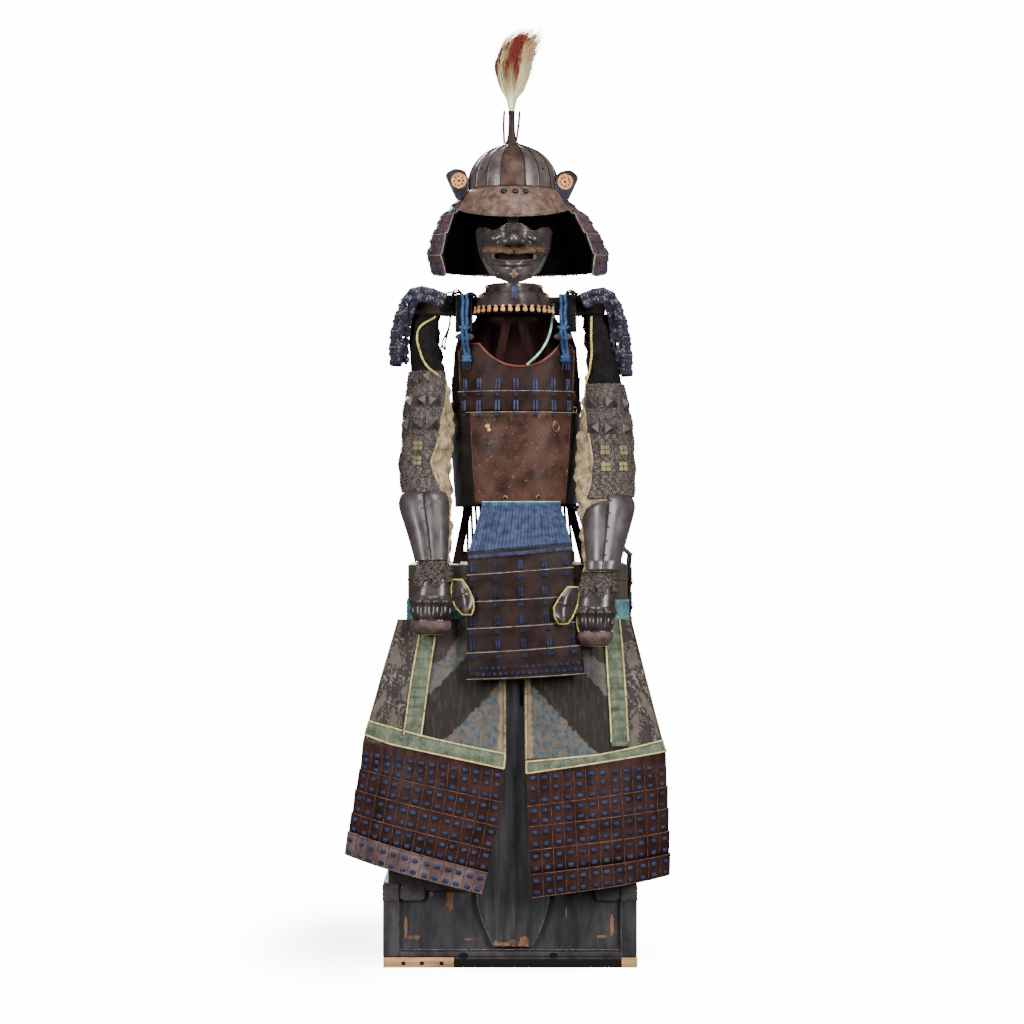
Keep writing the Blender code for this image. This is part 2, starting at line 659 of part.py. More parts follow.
def turned(skin, turn, shift):
    """The same panel turned about the upright axis and moved."""
    def moved(u, v, out=0.0):
        point = skin(u, v, out)
        cos, sin = math.cos(turn), math.sin(turn)
        return Vector((point.x * cos - point.y * sin, point.x * sin + point.y * cos, point.z)) + shift
    return moved


def make_hidden_skirts():
    """Plain side and back panels, each of five lames, with a band of cord above."""
    def plain_lines(half, top):
        return [Line(-half - 0.004 * row, top - 0.054 * row, half + 0.004 * row, top - 0.054 * row,
                     0.0, 0.0, 0.006) for row in range(6)]
    places = (
        ("side", 0.075, math.pi / 2, Vector((LID_MIDDLE + LID_HALF_WIDTH + 0.0078, 0.03, 0.0)), 90.0, 26.0),
        ("back", 0.130, math.pi, Vector((LID_MIDDLE, CHEST_BACK + 0.0078, 0.0)), 180.0, 58.0),
    )
    for name, half, turn, shift, middle, reach in places:
        skin = turned(hanging_panel(plain_lines(half, 0.885)), turn, shift)
        columns = spread(0.0, 1.0, 6)
        top = [torso(middle - reach + 2 * reach * u, TORSO_TOP - 0.9845, -0.0006) for u in columns]
        foot = [skin(u, 0.0, 0.0) for u in columns]
        above = [top, [a.lerp(b, 0.5) for a, b in zip(top, foot)]]
        shingled(name + "_skirt", skin, columns, 5, 0.0035, IRON, BLACK_LACQUER, above=above)


# Sleeves, forearm plates and hand guards

SLEEVES = {
    "left": (
        Ring(1.4053, -0.1870, 0.000, 0.030, 0.046), Ring(1.345, -0.1880, -0.012, 0.034, 0.050),
        Ring(1.286, -0.1800, -0.032, 0.037, 0.052), Ring(1.245, -0.1765, -0.045, 0.043, 0.052),
        Ring(1.205, -0.1760, -0.055, 0.050, 0.052), Ring(1.160, -0.1745, -0.060, 0.053, 0.050),
        Ring(1.115, -0.1780, -0.064, 0.054, 0.048), Ring(1.075, -0.1830, -0.070, 0.054, 0.046),
        Ring(1.020, -0.1770, -0.085, 0.052, 0.044), Ring(0.985, -0.1760, -0.100, 0.050, 0.042),
        Ring(0.930, -0.1680, -0.135, 0.044, 0.036), Ring(0.8665, -0.1620, -0.174, 0.034, 0.027),
    ),
    "right": (
        Ring(1.4053, 0.1900, 0.000, 0.030, 0.046), Ring(1.345, 0.1960, -0.012, 0.032, 0.050),
        Ring(1.286, 0.2040, -0.032, 0.035, 0.052), Ring(1.245, 0.2050, -0.045, 0.041, 0.052),
        Ring(1.205, 0.2050, -0.055, 0.048, 0.052), Ring(1.160, 0.2060, -0.060, 0.056, 0.050),
        Ring(1.115, 0.2050, -0.064, 0.060, 0.048), Ring(1.075, 0.2045, -0.070, 0.063, 0.046),
        Ring(1.020, 0.2030, -0.085, 0.062, 0.044), Ring(0.985, 0.2020, -0.100, 0.055, 0.042),
        Ring(0.930, 0.1975, -0.142, 0.047, 0.034), Ring(0.8665, 0.1920, -0.1945, 0.037, 0.026),
        Ring(0.8475, 0.1900, -0.1980, 0.035, 0.026),
    ),
}
HANDS = {
    "left": (
        Slice(0.8657, -0.163, 0.031, -0.179, 0.026), Slice(0.824, -0.1636, 0.038, -0.190, 0.026),
        Slice(0.788, -0.1657, 0.0424, -0.200, 0.027), Slice(0.756, -0.1667, 0.0414, -0.206, 0.028),
        Slice(0.730, -0.1667, 0.037, -0.207, 0.027), Slice(0.716, -0.168, 0.028, -0.205, 0.018),
    ),
    "right": (
        Slice(0.8467, 0.190, 0.032, -0.194, 0.026), Slice(0.808, 0.186, 0.038, -0.206, 0.025),
        Slice(0.770, 0.1816, 0.0400, -0.216, 0.024), Slice(0.735, 0.1810, 0.0380, -0.220, 0.024),
        Slice(0.710, 0.1808, 0.032, -0.221, 0.023), Slice(0.692, 0.1800, 0.022, -0.220, 0.016),
    ),
}
Thumb = namedtuple("Thumb", "z away far_x far_y bulge")
THUMBS = {
    "left": (
        Thumb(0.830, 0.0060, -0.1010, -0.212, 0.006), Thumb(0.812, 0.0005, -0.0880, -0.222, 0.012),
        Thumb(0.790, 0.0005, -0.0780, -0.229, 0.014), Thumb(0.772, 0.0100, -0.0760, -0.231, 0.012),
        Thumb(0.757, 0.0260, -0.0820, -0.231, 0.007),
    ),
    "right": (
        Thumb(0.815, 0.0060, 0.1220, -0.226, 0.006), Thumb(0.795, 0.0005, 0.1060, -0.238, 0.010),
        Thumb(0.773, 0.0005, 0.0930, -0.241, 0.012), Thumb(0.752, 0.0100, 0.0945, -0.242, 0.010),
        Thumb(0.738, 0.0220, 0.1040, -0.243, 0.006),
    ),
}


def sleeve_skin(side):
    table = SLEEVES[side]
    top = table[0].z
    return surface(lambda u, v: on_ring(at_height(table, top - v), u), 3.0, 0.006), top


def make_arm(side):
    skin, top = sleeve_skin(side)
    table = SLEEVES[side]
    outer = -1 if side == "left" else 1
    rows = [[on_ring(ring, d) for d in spread(0.0, 337.5, 15)] for ring in table]
    wall("sleeve_" + side, rows, CLOTH, HEMP_CLOTH, closed=True)

    # three rows of three small pyramids on a mail ground
    columns = spread(-46.0, 46.0, 7)
    columns = [d + outer * 24.0 for d in columns]
    bottom = 1.125 if side == "left" else 1.118
    heights = spread(1.285, bottom, 7)
    peaks = {(r, c) for r in (1, 3, 5) for c in (1, 3, 5)}
    panel("arm_mail_" + side, skin, columns, [top - z for z in heights], 0.0014, MAIL_CLOTH,
          out=0.0026, raised=peaks, height=0.006)

    # two hinged forearm plates, meeting at a seam down the front
    wrist = table[-1].z + 0.002
    heights = [1.0] + [ring.z for ring in table[8:] if wrist < ring.z < 1.0] + [0.958, 0.898, wrist]
    heights.sort(reverse=True)
    for name, start, end in (("outer", 8.0, 96.0), ("inner", -60.0, 7.0)):
        columns = [outer * d for d in spread(start, end, 5)]
        columns = sorted(columns)
        rows = []
        for z in heights:
            share = (1.0 - z) / (1.0 - wrist)
            swell = 0.0031 + 0.004 * math.sin(math.pi * share) * (1.0 - share)
            rows.append([skin(d, top - z, swell) for d in columns])
        wall("forearm_%s_%s" % (name, side), rows, IRON, BLACK_LACQUER)

    hand = HANDS[side]
    rows = []
    for cut in hand:
        rows.append([])
        for u in spread(-1.0, 1.0, 8):
            crown = math.sqrt(max(0.0, 1.0 - 0.92 * u * u)) - 0.28
            rows[-1].append(Vector((cut.cx + cut.half * u, cut.edge_y - cut.bulge * crown, cut.z)))
    wall("hand_guard_" + side, rows, IRON, BLACK_LACQUER)

    # the thumb's plate starts at the edge of the hand's and reaches forward past the skirt
    rows = []
    for thumb in THUMBS[side]:
        cut = at_height(hand, thumb.z)
        near = Vector((cut.cx - outer * (cut.half + thumb.away), cut.edge_y - thumb.away, thumb.z))
        far = Vector((thumb.far_x, thumb.far_y, thumb.z))
        row = []
        for share in spread(0.0, 1.0, 4):
            point = near.lerp(far, share)
            point.y -= thumb.bulge * math.sin(math.pi * share)
            row.append(point)
        rows.append(row if side == "left" else row[::-1])
    wall("thumb_guard_" + side, rows, IRON, BLACK_LACQUER)


# Shoulder guards

GUARD_PATHS = {
    "left": ((-0.140, 1.4453), (-0.165, 1.4560), (-0.190, 1.4620), (-0.215, 1.4570), (-0.237, 1.4380),
             (-0.251, 1.4050), (-0.260, 1.3700), (-0.2635, 1.3350), (-0.262, 1.2980)),
    "right": ((0.155, 1.4453), (0.178, 1.4550), (0.202, 1.4590), (0.224, 1.4490), (0.242, 1.4280),
              (0.254, 1.3950), (0.262, 1.3570), (0.2665, 1.3180), (0.2675, 1.2750)),
}


def make_shoulder_guard(side):
    path = GUARD_PATHS[side]
    direction = 1.0 if side == "left" else -1.0

    def point(u, v):
        place = min(max(v, 0.0), len(path) - 1.0)
        low = min(int(place), len(path) - 2)
        part = place - low
        x = path[low][0] + (path[low + 1][0] - path[low][0]) * part
        z = path[low][1] + (path[low + 1][1] - path[low][1]) * part
        hang = min(max((place - 3.0) / 3.0, 0.0), 1.0)
        wrap = 0.020 * hang * abs(2.0 * u - 1.0) ** 3
        return Vector((x + direction * wrap, direction * (0.062 - 0.124 * u), z))
    skin = surface(point, 0.02, 0.1)
    shingled("shoulder_guard_" + side, skin, spread(0.0, 1.0, 6), 8, 0.003, IRON, BLACK_LACQUER)


# Thigh guards

THIGH_LINES = {
    "left": (
        Edge(-0.2310, 0.7700, -0.0110, 0.7700),
        Edge(-0.2750, 0.6200, -0.0108, 0.6200),
        Edge(-0.3130, 0.4850, -0.0107, 0.4540),
        Edge(-0.3190, 0.4250, -0.0180, 0.3600),
        Edge(-0.3280, 0.3810, -0.0270, 0.3090),
        Edge(-0.3360, 0.3310, -0.0370, 0.2590),
        Edge(-0.3440, 0.2900, -0.0475, 0.2110),
        Edge(-0.3532, 0.2400, -0.0590, 0.1655),
    ),
    "right": (
        Edge(0.0325, 0.7700, 0.2520, 0.7700),
        Edge(0.0335, 0.6200, 0.2900, 0.6200),
        Edge(0.0345, 0.4520, 0.3320, 0.4620),
        Edge(0.0370, 0.3500, 0.3350, 0.3880),
        Edge(0.0390, 0.3080, 0.3370, 0.3410),
        Edge(0.0415, 0.2590, 0.3385, 0.2920),
        Edge(0.0440, 0.2080, 0.3400, 0.2430),
        Edge(0.0465, 0.1580, 0.3416, 0.1960),
    ),
}
CLOTH_LINES = 2
CLOTH_ROWS = (0.0, 0.14, 0.5, 0.85, 1.2, 1.5, 1.78, 2.0, 2.12)
THIGH_FRONT = (-0.1709, -0.184, -0.196, -0.206, -0.212, -0.217, -0.221, -0.226)
THIGH_BEND = (0.000, 0.018, 0.046, 0.060, 0.068, 0.076, 0.083, 0.090)


def thigh_columns(side, v):
    """Columns over a thigh guard, two of them the edges of its upright strip."""
    if side == "left":
        start = 0.22 + 0.03 * v
        counts = (3, 7)
    else:
        start = 0.755 - 0.072 * min(v, 2.0)
        counts = (7, 3)
    end = start + 0.150 - 0.014 * v
    return spread(0.0, start, counts[0]) + spread(end, 1.0, counts[1])


def thigh_skin(side):
    lines = THIGH_LINES[side]

    def point(u, v):
        line = between(lines, v)
        low = min(int(max(v, 0.0)), len(lines) - 2)
        part = min(max(v, 0.0), len(lines) - 1.0) - low
        front = THIGH_FRONT[low] + (THIGH_FRONT[low + 1] - THIGH_FRONT[low]) * part
        bend = THIGH_BEND[low] + (THIGH_BEND[low + 1] - THIGH_BEND[low]) * part
        outward = 1.0 - u if side == "left" else u
        slack = min(max(v, 0.0), 1.0) * max(0.0, 1.0 - max(0.0, v - 1.0))
        fold = 0.003 * abs(math.sin(u * 9.0 + v * 1.7)) * slack
        x = line.left_x + (line.right_x - line.left_x) * u
        z = line.left_z + (line.right_z - line.left_z) * u
        return Vector((x, front + bend * outward ** 4 - fold, z))
    return surface(point, 0.01, 0.02)


def make_thigh_guard(side):
    skin = thigh_skin(side)
    rows = [[skin(u, v) for u in thigh_columns(side, v)] for v in CLOTH_ROWS]
    wall("thigh_cloth_" + side, rows, CLOTH, DARK_CLOTH)

    def lame_skin(u, v, out=0.0):
        return skin(u, v + CLOTH_LINES + 0.02, out)
    shingled("thigh_lames_" + side, lame_skin, thigh_columns(side, CLOTH_LINES), 5, 0.0035, IRON,
             RED_LACQUER, out=0.0026, first=0.0)

    heights = CLOTH_ROWS[1:8]
    rows = [[skin(u, v, 0.0021) for u in thigh_columns(side, v)] for v in heights]
    strip = 3 if side == "left" else 7
    skip = {(r, c) for r in range(len(heights) - 2) for c in range(11) if c != strip}
    wall("thigh_trim_" + side, rows, 0.0015, BROCADE, skip=skip)


def make_belt():
    clear = GAP
    low_x = LID_MIDDLE - LID_HALF_WIDTH - clear - 0.0026
    high_x = LID_MIDDLE + LID_HALF_WIDTH + clear + 0.0026
    low_y = CHEST_FRONT - clear - 0.0026
    high_y = CHEST_BACK + clear + 0.0026
    ring = ((low_x, low_y), (high_x, low_y), (high_x, high_y), (low_x, high_y))
    rows = [[Vector((x, y, z)) for x, y in ring] for z in (0.787, 0.738)]
    part = wall("thigh_belt", rows, 0.0026, BELT_CLOTH, closed=True)
    part.modifiers["thickness"].use_even_offset = True


def make_cords():
    green = ((0.0950, -0.0154, 1.430), (0.0945, -0.0290, 1.412), (0.0860, -0.0820, 1.360),
             (0.0660, -0.1200, 1.320), (0.0365, -0.1215, 1.2910))
    tube("green_cord", smooth_route(green, 22), 0.0026, BELT_CLOTH)


RING_DEGREES = 36.5
RING_TOP = 1.1658
RING_RADIUS = 0.0088
RING_WIRE = 0.0014
EYE_RADIUS = 0.0027
EYE_WIRE = 0.0008


def make_swing_ring():
    """A ring that hangs in an eye on the front plate and swings about its own top."""
    turn = math.radians(RING_DEGREES)
    outward = Vector((math.sin(turn), -math.cos(turn), 0.0))
    along = Vector((math.cos(turn), math.sin(turn), 0.0))
    seat = torso(RING_DEGREES, TORSO_TOP - 1.157)
    pivot = Vector((seat.x, seat.y, RING_TOP)) + outward * 0.0024
    bm = bmesh.new()
    loops = []
    for step in range(16):
        angle = math.tau * step / 16
        spoke = along * math.sin(angle) + Vector((0, 0, math.cos(angle)))
        middle = spoke * RING_RADIUS - Vector((0, 0, RING_RADIUS))
        loop = []
        for side in range(6):
            lean = math.tau * side / 6
            loop.append(bm.verts.new(middle + (spoke * math.cos(lean) + outward * math.sin(lean)) * RING_WIRE))
        loops.append(loop)
    for step in range(16):
        here, there = loops[step], loops[(step + 1) % 16]
        for side in range(6):
            n = (side + 1) % 6
            bm.faces.new((here[side], here[n], there[n], there[side]))
    bmesh.ops.recalc_face_normals(bm, faces=bm.faces)
    ring = add_part("swing_ring", bm, RUSSET_IRON)
    ring.location = pivot
    eye = []
    for degrees in spread(-90.0, 90.0, 6):
        lean = math.radians(degrees)
        eye.append(pivot + (outward * math.cos(lean) + Vector((0, 0, math.sin(lean)))) * EYE_RADIUS)
    tube("ring_eye", [eye[0] - outward * 0.0016] + eye + [eye[-1] - outward * 0.0010], EYE_WIRE, RUSSET_IRON)


def main():
    clear_scene()
    make_chest()
    make_plank()
    make_frame()
    make_bowl()
    make_brim()
    make_neck_guard()
    make_turn_backs()
    make_crest()
    make_plume()
    make_face_guard()
    make_throat_guard()
    make_collar()
    make_face_cord()
    make_cuirass()
    make_shoulders()
    make_front_skirt()
    make_hidden_skirts()
    for side in ("left", "right"):
        make_arm(side)
        make_shoulder_guard(side)
        make_thigh_guard(side)
    make_belt()
    make_cords()
    make_swing_ring()


main()
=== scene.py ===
"""The look of the Japanese lacquered iron armour on its wooden chest and frame.

Metres, +Z up, the same frame as the CAD. The armour faces -Y and +X is to a viewer's right.
"""
import math
import random
from collections import namedtuple

import bpy
from mathutils import Matrix, Vector, noise


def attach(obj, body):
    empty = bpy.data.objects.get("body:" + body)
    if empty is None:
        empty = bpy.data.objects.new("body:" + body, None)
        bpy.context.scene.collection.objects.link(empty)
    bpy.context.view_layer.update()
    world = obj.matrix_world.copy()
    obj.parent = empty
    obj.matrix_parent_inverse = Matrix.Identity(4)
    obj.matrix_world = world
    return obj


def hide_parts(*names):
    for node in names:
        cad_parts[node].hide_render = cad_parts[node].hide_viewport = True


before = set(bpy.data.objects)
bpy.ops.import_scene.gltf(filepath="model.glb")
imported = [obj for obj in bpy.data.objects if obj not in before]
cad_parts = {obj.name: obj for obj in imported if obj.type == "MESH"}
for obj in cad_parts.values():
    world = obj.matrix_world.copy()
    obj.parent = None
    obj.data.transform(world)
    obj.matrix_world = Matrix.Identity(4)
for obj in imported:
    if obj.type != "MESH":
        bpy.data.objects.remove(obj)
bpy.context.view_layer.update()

random.seed(11)

FRONT = Vector((0, -1, 0))
UP = Vector((0, 0, 1))
GAP = 0.0003
IRON = 0.0018
CLOTH = 0.0022
SIDES = ("left", "right")

CHEST_HALF_WIDTH = 0.271
CHEST_FRONT = -0.165
CHEST_PANEL = CHEST_FRONT + 0.006
CHEST_BACK = 0.235
CHEST_BASE_TOP = 0.183
LID_MIDDLE = 0.017
LID_HALF_WIDTH = 0.235

TORSO_MIDDLE = 0.013
TORSO_TOP = 1.40
BREAST_TOP = 1.338
BREAST_BOTTOM = 1.235
LAME_BOTTOM = 1.189
CUIRASS_BOTTOM = 0.991

HEAD_MIDDLE = 0.0066
BOWL_BASE = 1.686
BOWL_HEIGHT = 0.095
BOWL_HALF_WIDTH = 0.097
BOWL_HALF_DEPTH = 0.112

Ring = namedtuple("Ring", "z cx cy rx ry")
Line = namedtuple("Line", "left_x left_z right_x right_z left_y right_y bulge")
Edge = namedtuple("Edge", "left_x left_z right_x right_z")
Slice = namedtuple("Slice", "z cx half edge_y bulge")
Thumb = namedtuple("Thumb", "z away far_x far_y bulge")


# Numbers, routes and surfaces, as in the part

def spread(start, end, count):
    """count + 1 evenly spaced values from start to end."""
    return [start + (end - start) * i / count for i in range(count + 1)]


def between(table, place):
    """A row of a table of equal named tuples, interpolated at a fractional row number."""
    place = min(max(place, 0.0), len(table) - 1.0)
    low = min(int(place), len(table) - 2)
    part = place - low
    pairs = zip(table[low], table[low + 1])
    return type(table[0])(*[a + (b - a) * part for a, b in pairs])


def at_height(table, z):
    """A row of a table listed from the top down, interpolated at height z."""
    for number in range(len(table) - 1):
        upper = table[number].z
        lower = table[number + 1].z
        if z >= lower or number == len(table) - 2:
            return between(table, number + min(max((upper - z) / (upper - lower), 0.0), 1.0))
    return table[-1]


def on_ring(ring, degrees):
    """A point of an upright ring. 0 degrees is the front, 90 is the viewer's right."""
    turn = math.radians(degrees)
    return Vector((ring.cx + ring.rx * math.sin(turn), ring.cy - ring.ry * math.cos(turn), ring.z))


def surface(point, across_step, down_step):
    """Wrap point(u, v), u to the right and v down seen from outside, so it can be moved out."""
    def moved(u, v, out=0.0):
        here = point(u, v)
        if out == 0.0:
            return here
        across = point(u + across_step, v) - point(u - across_step, v)
        down = point(u, v + down_step) - point(u, v - down_step)
        return here + down.cross(across).normalized() * out
    moved.steps = (across_step, down_step)
    return moved


def axes_on(skin, u, v, out=0.0):
    """The place on a surface with its directions across, up and out."""
    du, dv = skin.steps
    across = (skin(u + du, v) - skin(u - du, v)).normalized()
    down = (skin(u, v + dv) - skin(u, v - dv)).normalized()
    outward = down.cross(across).normalized()
    return skin(u, v) + outward * out, across, outward.cross(across), outward


def smooth_route(points, count):
    """count + 1 points on a smooth curve through the given ones."""
    route = [Vector(p) for p in points]
    ends = [route[0] * 2 - route[1]] + route + [route[-1] * 2 - route[-2]]
    made = []
    for i in range(count + 1):
        place = i / count * (len(route) - 1)
        k = min(int(place), len(route) - 2)
        t = place - k
        a, b, c, d = ends[k:k + 4]
        made.append(0.5 * (2 * b + (c - a) * t + (2 * a - 5 * b + 4 * c - d) * t * t
                           + (3 * b - a - 3 * c + d) * t ** 3))
    return made


def unit(value):
    """A value kept between 0 and 1."""
    return min(max(value, 0.0), 1.0)


def round_turns(count):
    """count angles evenly round a circle, the last just before the first again."""
    return spread(0.0, math.tau * (count - 1) / count, count - 1)


def shades(first, last):
    """A colour between two, for a share along a strand."""
    return lambda share: tuple(a + (b - a) * share for a, b in zip(first, last))


def bump_at(value, middle, width):
    """A smooth rise that is 1 at middle and fades over width."""
    return math.exp(-((value - middle) / width) ** 2)


# Materials

TONE = (
    # what a screen shows of a surface, and the light that the surface sends out
    (0, 0.0), (9, 0.005), (18, 0.01), (32, 0.02), (41, 0.03), (58, 0.05), (76, 0.08), (95, 0.12), (118, 0.18),
    (140, 0.27), (159, 0.4), (177, 0.6), (186, 0.75), (197, 1.0), (210, 1.5), (255, 9.0),
)
STUDIO_LIGHT = 1.35
BRIGHTEST = 0.82
WAVE_PITCH = 0.314  # how far apart a wave texture's bands lie at a scale of 1


def sent_out(shown):
    """The light of a surface that a screen shows as this value."""
    for (low, dark), (high, bright) in zip(TONE, TONE[1:]):
        if shown <= high:
            return dark + (bright - dark) * (shown - low) / (high - low)
    return bright


def tint(red, green, blue):
    """The base colour of a surface that a screen shows as these 0 to 255 values in the studio's light."""
    return tuple(min(sent_out(c) / STUDIO_LIGHT, BRIGHTEST) for c in (red, green, blue))


def darker(colour, share):
    return tuple(c * share for c in colour)


class Look:
    """Builds the nodes of one material."""

    def __init__(self, name):
        self.material = bpy.data.materials.new(name)
        self.material.use_nodes = True
        self.tree = self.material.node_tree
        self.shader = self.tree.nodes["Principled BSDF"]

    def put(self, socket, value):
        if isinstance(value, bpy.types.NodeSocket):
            self.tree.links.new(value, socket)
        elif socket.type == "RGBA":
            socket.default_value = (*value, 1.0)
        else:
            socket.default_value = value

    def add(self, kind, settings=(), output=0, **inputs):
        node = self.tree.nodes.new("ShaderNode" + kind)
        for key, value in settings:
            setattr(node, key, value)
        for key, value in inputs.items():
            self.put(node.inputs[key.replace("_", " ")], value)
        return node.outputs[output]

    def mix(self, share, first, second, mode="MIX"):
        node = self.tree.nodes.new("ShaderNodeMix")
        node.data_type = "RGBA"
        node.blend_type = mode
        self.put(node.inputs[0], share)
        self.put(node.inputs[6], first)
        self.put(node.inputs[7], second)
        return node.outputs[2]

    def calc(self, operation, *values):
        node = self.tree.nodes.new("ShaderNodeMath")
        node.operation = operation
        for socket, value in zip(node.inputs, values):
            self.put(socket, value)
        return node.outputs[0]

    def place(self, scale=(1.0, 1.0, 1.0), kind="Object", turn=0.0):
        coordinates = self.tree.nodes.new("ShaderNodeTexCoord").outputs[kind]
        return self.add("Mapping", Vector=coordinates, Scale=scale, Rotation=(0.0, 0.0, turn))

    def span(self, value, low, high, to_low=0.0, to_high=1.0):
        return self.add("MapRange", Value=value, From_Min=low, From_Max=high, To_Min=to_low, To_Max=to_high)

    def noise(self, scale, detail=5.0, place=None, rough=0.6, warp=0.0):
        return self.add("TexNoise", Vector=place or self.place(), Scale=scale, Detail=detail,
                        Roughness=rough, Distortion=warp)

    def wave(self, direction, pitch, uneven):
        """Threads across a cloth, a pitch apart in its own metres."""
        return self.add("TexWave", (("bands_direction", direction),), 1, Vector=self.place(kind="UV"),
                        Scale=WAVE_PITCH / pitch, Distortion=uneven)

    def set(self, **values):
        for label, value in values.items():
            self.put(self.shader.inputs[label.replace("_", " ")], value)

    def finish(self, colour, rough, height, depth, metal=0.0, coat=0.0, strength=0.6, shine=0.2):
        self.set(Base_Color=colour, Specular_IOR_Level=shine, Roughness=rough, Metallic=metal, Coat_Weight=coat,
                 Coat_Roughness=0.15, Normal=self.add("Bump", Height=height, Distance=depth, Strength=strength))
        return self.material


def worn(name, dark, light, rough, metal=0.0, patch=22.0, grain=420.0, depth=0.0004, rubbed=None,
         rubbed_from=0.62, coat=0.0, shine=0.16):
    """Lacquer, metal or hide: clouded between two colours, finely grained, rubbed through in spots."""
    look = Look(name)
    dark = tint(*dark)
    clouds = look.noise(patch, 6.0)
    fine = look.noise(grain, 3.0)
    colour = look.mix(look.span(clouds, 0.36, 0.64), dark, tint(*light))
    colour = look.mix(look.span(fine, 0.35, 0.65, 0.0, 0.35), colour, darker(dark, 0.45))
    gloss = look.span(clouds, 0.3, 0.7, rough - 0.07, rough + 0.12)
    if rubbed:
        wear = look.noise(patch * 5.0, 9.0, rough=0.72)
        colour = look.mix(look.span(wear, rubbed_from, rubbed_from + 0.05), colour, tint(*rubbed))
    height = look.calc("ADD", fine, look.calc("MULTIPLY", clouds, 1.5))
    return look.finish(colour, gloss, height, depth, metal, coat, shine=shine)


def woven(name, dark, light, pitch=0.0013, worn_to=None, patch=30.0, rough=0.9, worn_from=0.56):
    """Plain weave in the cloth's own metres, faded in patches."""
    look = Look(name)
    dark = tint(*dark)
    warp = look.wave("X", pitch, 0.6)
    weft = look.wave("Y", pitch, 0.6)
    threads = look.calc("MAXIMUM", warp, weft)
    clouds = look.noise(patch, 8.0, rough=0.65)
    slubs = look.noise(160.0, 4.0, look.place((1.0, 1.0, 0.12)))
    colour = look.mix(look.span(clouds, 0.35, 0.65), dark, tint(*light))
    colour = look.mix(look.span(slubs, 0.4, 0.7, 0.0, 0.5), colour, darker(dark, 0.5))
    colour = look.mix(look.span(threads, 0.2, 0.9, 0.25, 0.0), colour, darker(dark, 0.3))
    if worn_to:
        faded = look.noise(patch * 2.2, 8.0, rough=0.7)
        colour = look.mix(look.span(faded, worn_from, worn_from + 0.08), colour, tint(*worn_to))
    height = look.calc("ADD", threads, look.calc("MULTIPLY", clouds, 2.0))
    return look.finish(colour, rough, height, 0.0005, shine=0.05)


def braided(name, dark, light, pitch=0.0022, rough=0.75):
    """Silk braid, with slanting plaits and faded lengths."""
    look = Look(name)
    dark = tint(*dark)
    plait = look.add("TexWave", (("bands_direction", "DIAGONAL"),), 1, Vector=look.place(),
                     Scale=WAVE_PITCH / pitch, Distortion=1.5, Detail=2.0)
    clouds = look.noise(60.0, 5.0)
    colour = look.mix(look.span(clouds, 0.35, 0.65), dark, tint(*light))
    colour = look.mix(look.span(plait, 0.0, 0.5, 0.55, 0.0), colour, darker(dark, 0.35))
    return look.finish(colour, rough, plait, 0.0006, shine=0.08)


def timber(name, dark, light, stretch, rough=0.55, chipped=None, chipped_from=0.66, low_edge=None):
    """Stained wood with its grain along the least stretched direction."""
    look = Look(name)
    dark = tint(*dark)
    grain = look.noise(70.0, 7.0, look.place(stretch), rough=0.6, warp=0.4)
    clouds = look.noise(9.0, 4.0)
    colour = look.mix(look.span(grain, 0.35, 0.65), dark, tint(*light))
    colour = look.mix(look.span(clouds, 0.35, 0.7, 0.0, 0.5), colour, darker(dark, 0.6))
    if chipped:
        bare_wood = tint(*chipped)
        flakes = look.noise(16.0, 9.0, look.place(tuple(s * 1.6 for s in stretch)), rough=0.75)
        if low_edge:
            height = look.add("SeparateXYZ", output=2, Vector=look.place())
            flakes = look.calc("ADD", flakes, look.span(height, low_edge, low_edge + 0.022, 0.22, 0.0))
        bare = look.span(flakes, chipped_from, chipped_from + 0.02)
        wood = look.mix(look.span(grain, 0.4, 0.6), bare_wood, darker(bare_wood, 0.4))
        colour = look.mix(bare, colour, wood)
    return look.finish(colour, look.span(grain, 0.3, 0.7, rough - 0.08, rough + 0.12), grain, 0.0006, shine=0.12)


def mail_look(name, dark, light):
    """Small linked rings on cloth, seen as a close network."""
    look = Look(name)
    cells = look.add("TexVoronoi", (("feature", "F1"),), 0, Vector=look.place(kind="UV"), Scale=170.0)
    clouds = look.noise(40.0, 6.0)
    colour = look.mix(look.span(cells, 0.25, 0.6), tint(*dark), tint(*light))
    colour = look.mix(look.span(clouds, 0.4, 0.65, 0.0, 0.6), colour, tint(64, 54, 50))
    return look.finish(colour, 0.65, cells, 0.0012, 0.25, strength=0.9, shine=0.15)


def tinted(name, rough=0.9, pitch=0.0013, depth=0.0006):
    """Printed cloth whose colour is an attribute worked out over the cloth, aged by noise."""
    look = Look(name)
    base = look.add("Attribute", (("attribute_name", "print"),))
    clouds = look.noise(45.0, 9.0, rough=0.7)
    streaks = look.noise(150.0, 5.0, look.place((1.0, 1.0, 0.15)))
    colour = look.mix(look.span(clouds, 0.38, 0.66, 0.0, 0.45), base, tint(46, 42, 38))
    colour = look.mix(look.span(streaks, 0.5, 0.7, 0.0, 0.16), colour, tint(128, 120, 108))
    height = look.calc("ADD", look.wave("X", pitch, 1.0), look.calc("MULTIPLY", clouds, 3.0))
    return look.finish(colour, rough, height, depth, shine=0.05)


def strand_look(name, rough=0.55):
    """Hair whose colour is an attribute along each lock."""
    look = Look(name)
    base = look.add("Attribute", (("attribute_name", "print"),))
    streaks = look.noise(240.0, 3.0, look.place((1.0, 1.0, 0.1)))
    colour = look.mix(look.span(streaks, 0.35, 0.65, 0.0, 0.4), base, tint(104, 78, 54))
    return look.finish(colour, rough, streaks, 0.0003, shine=0.15)


RAW_WOOD = (160, 116, 82)


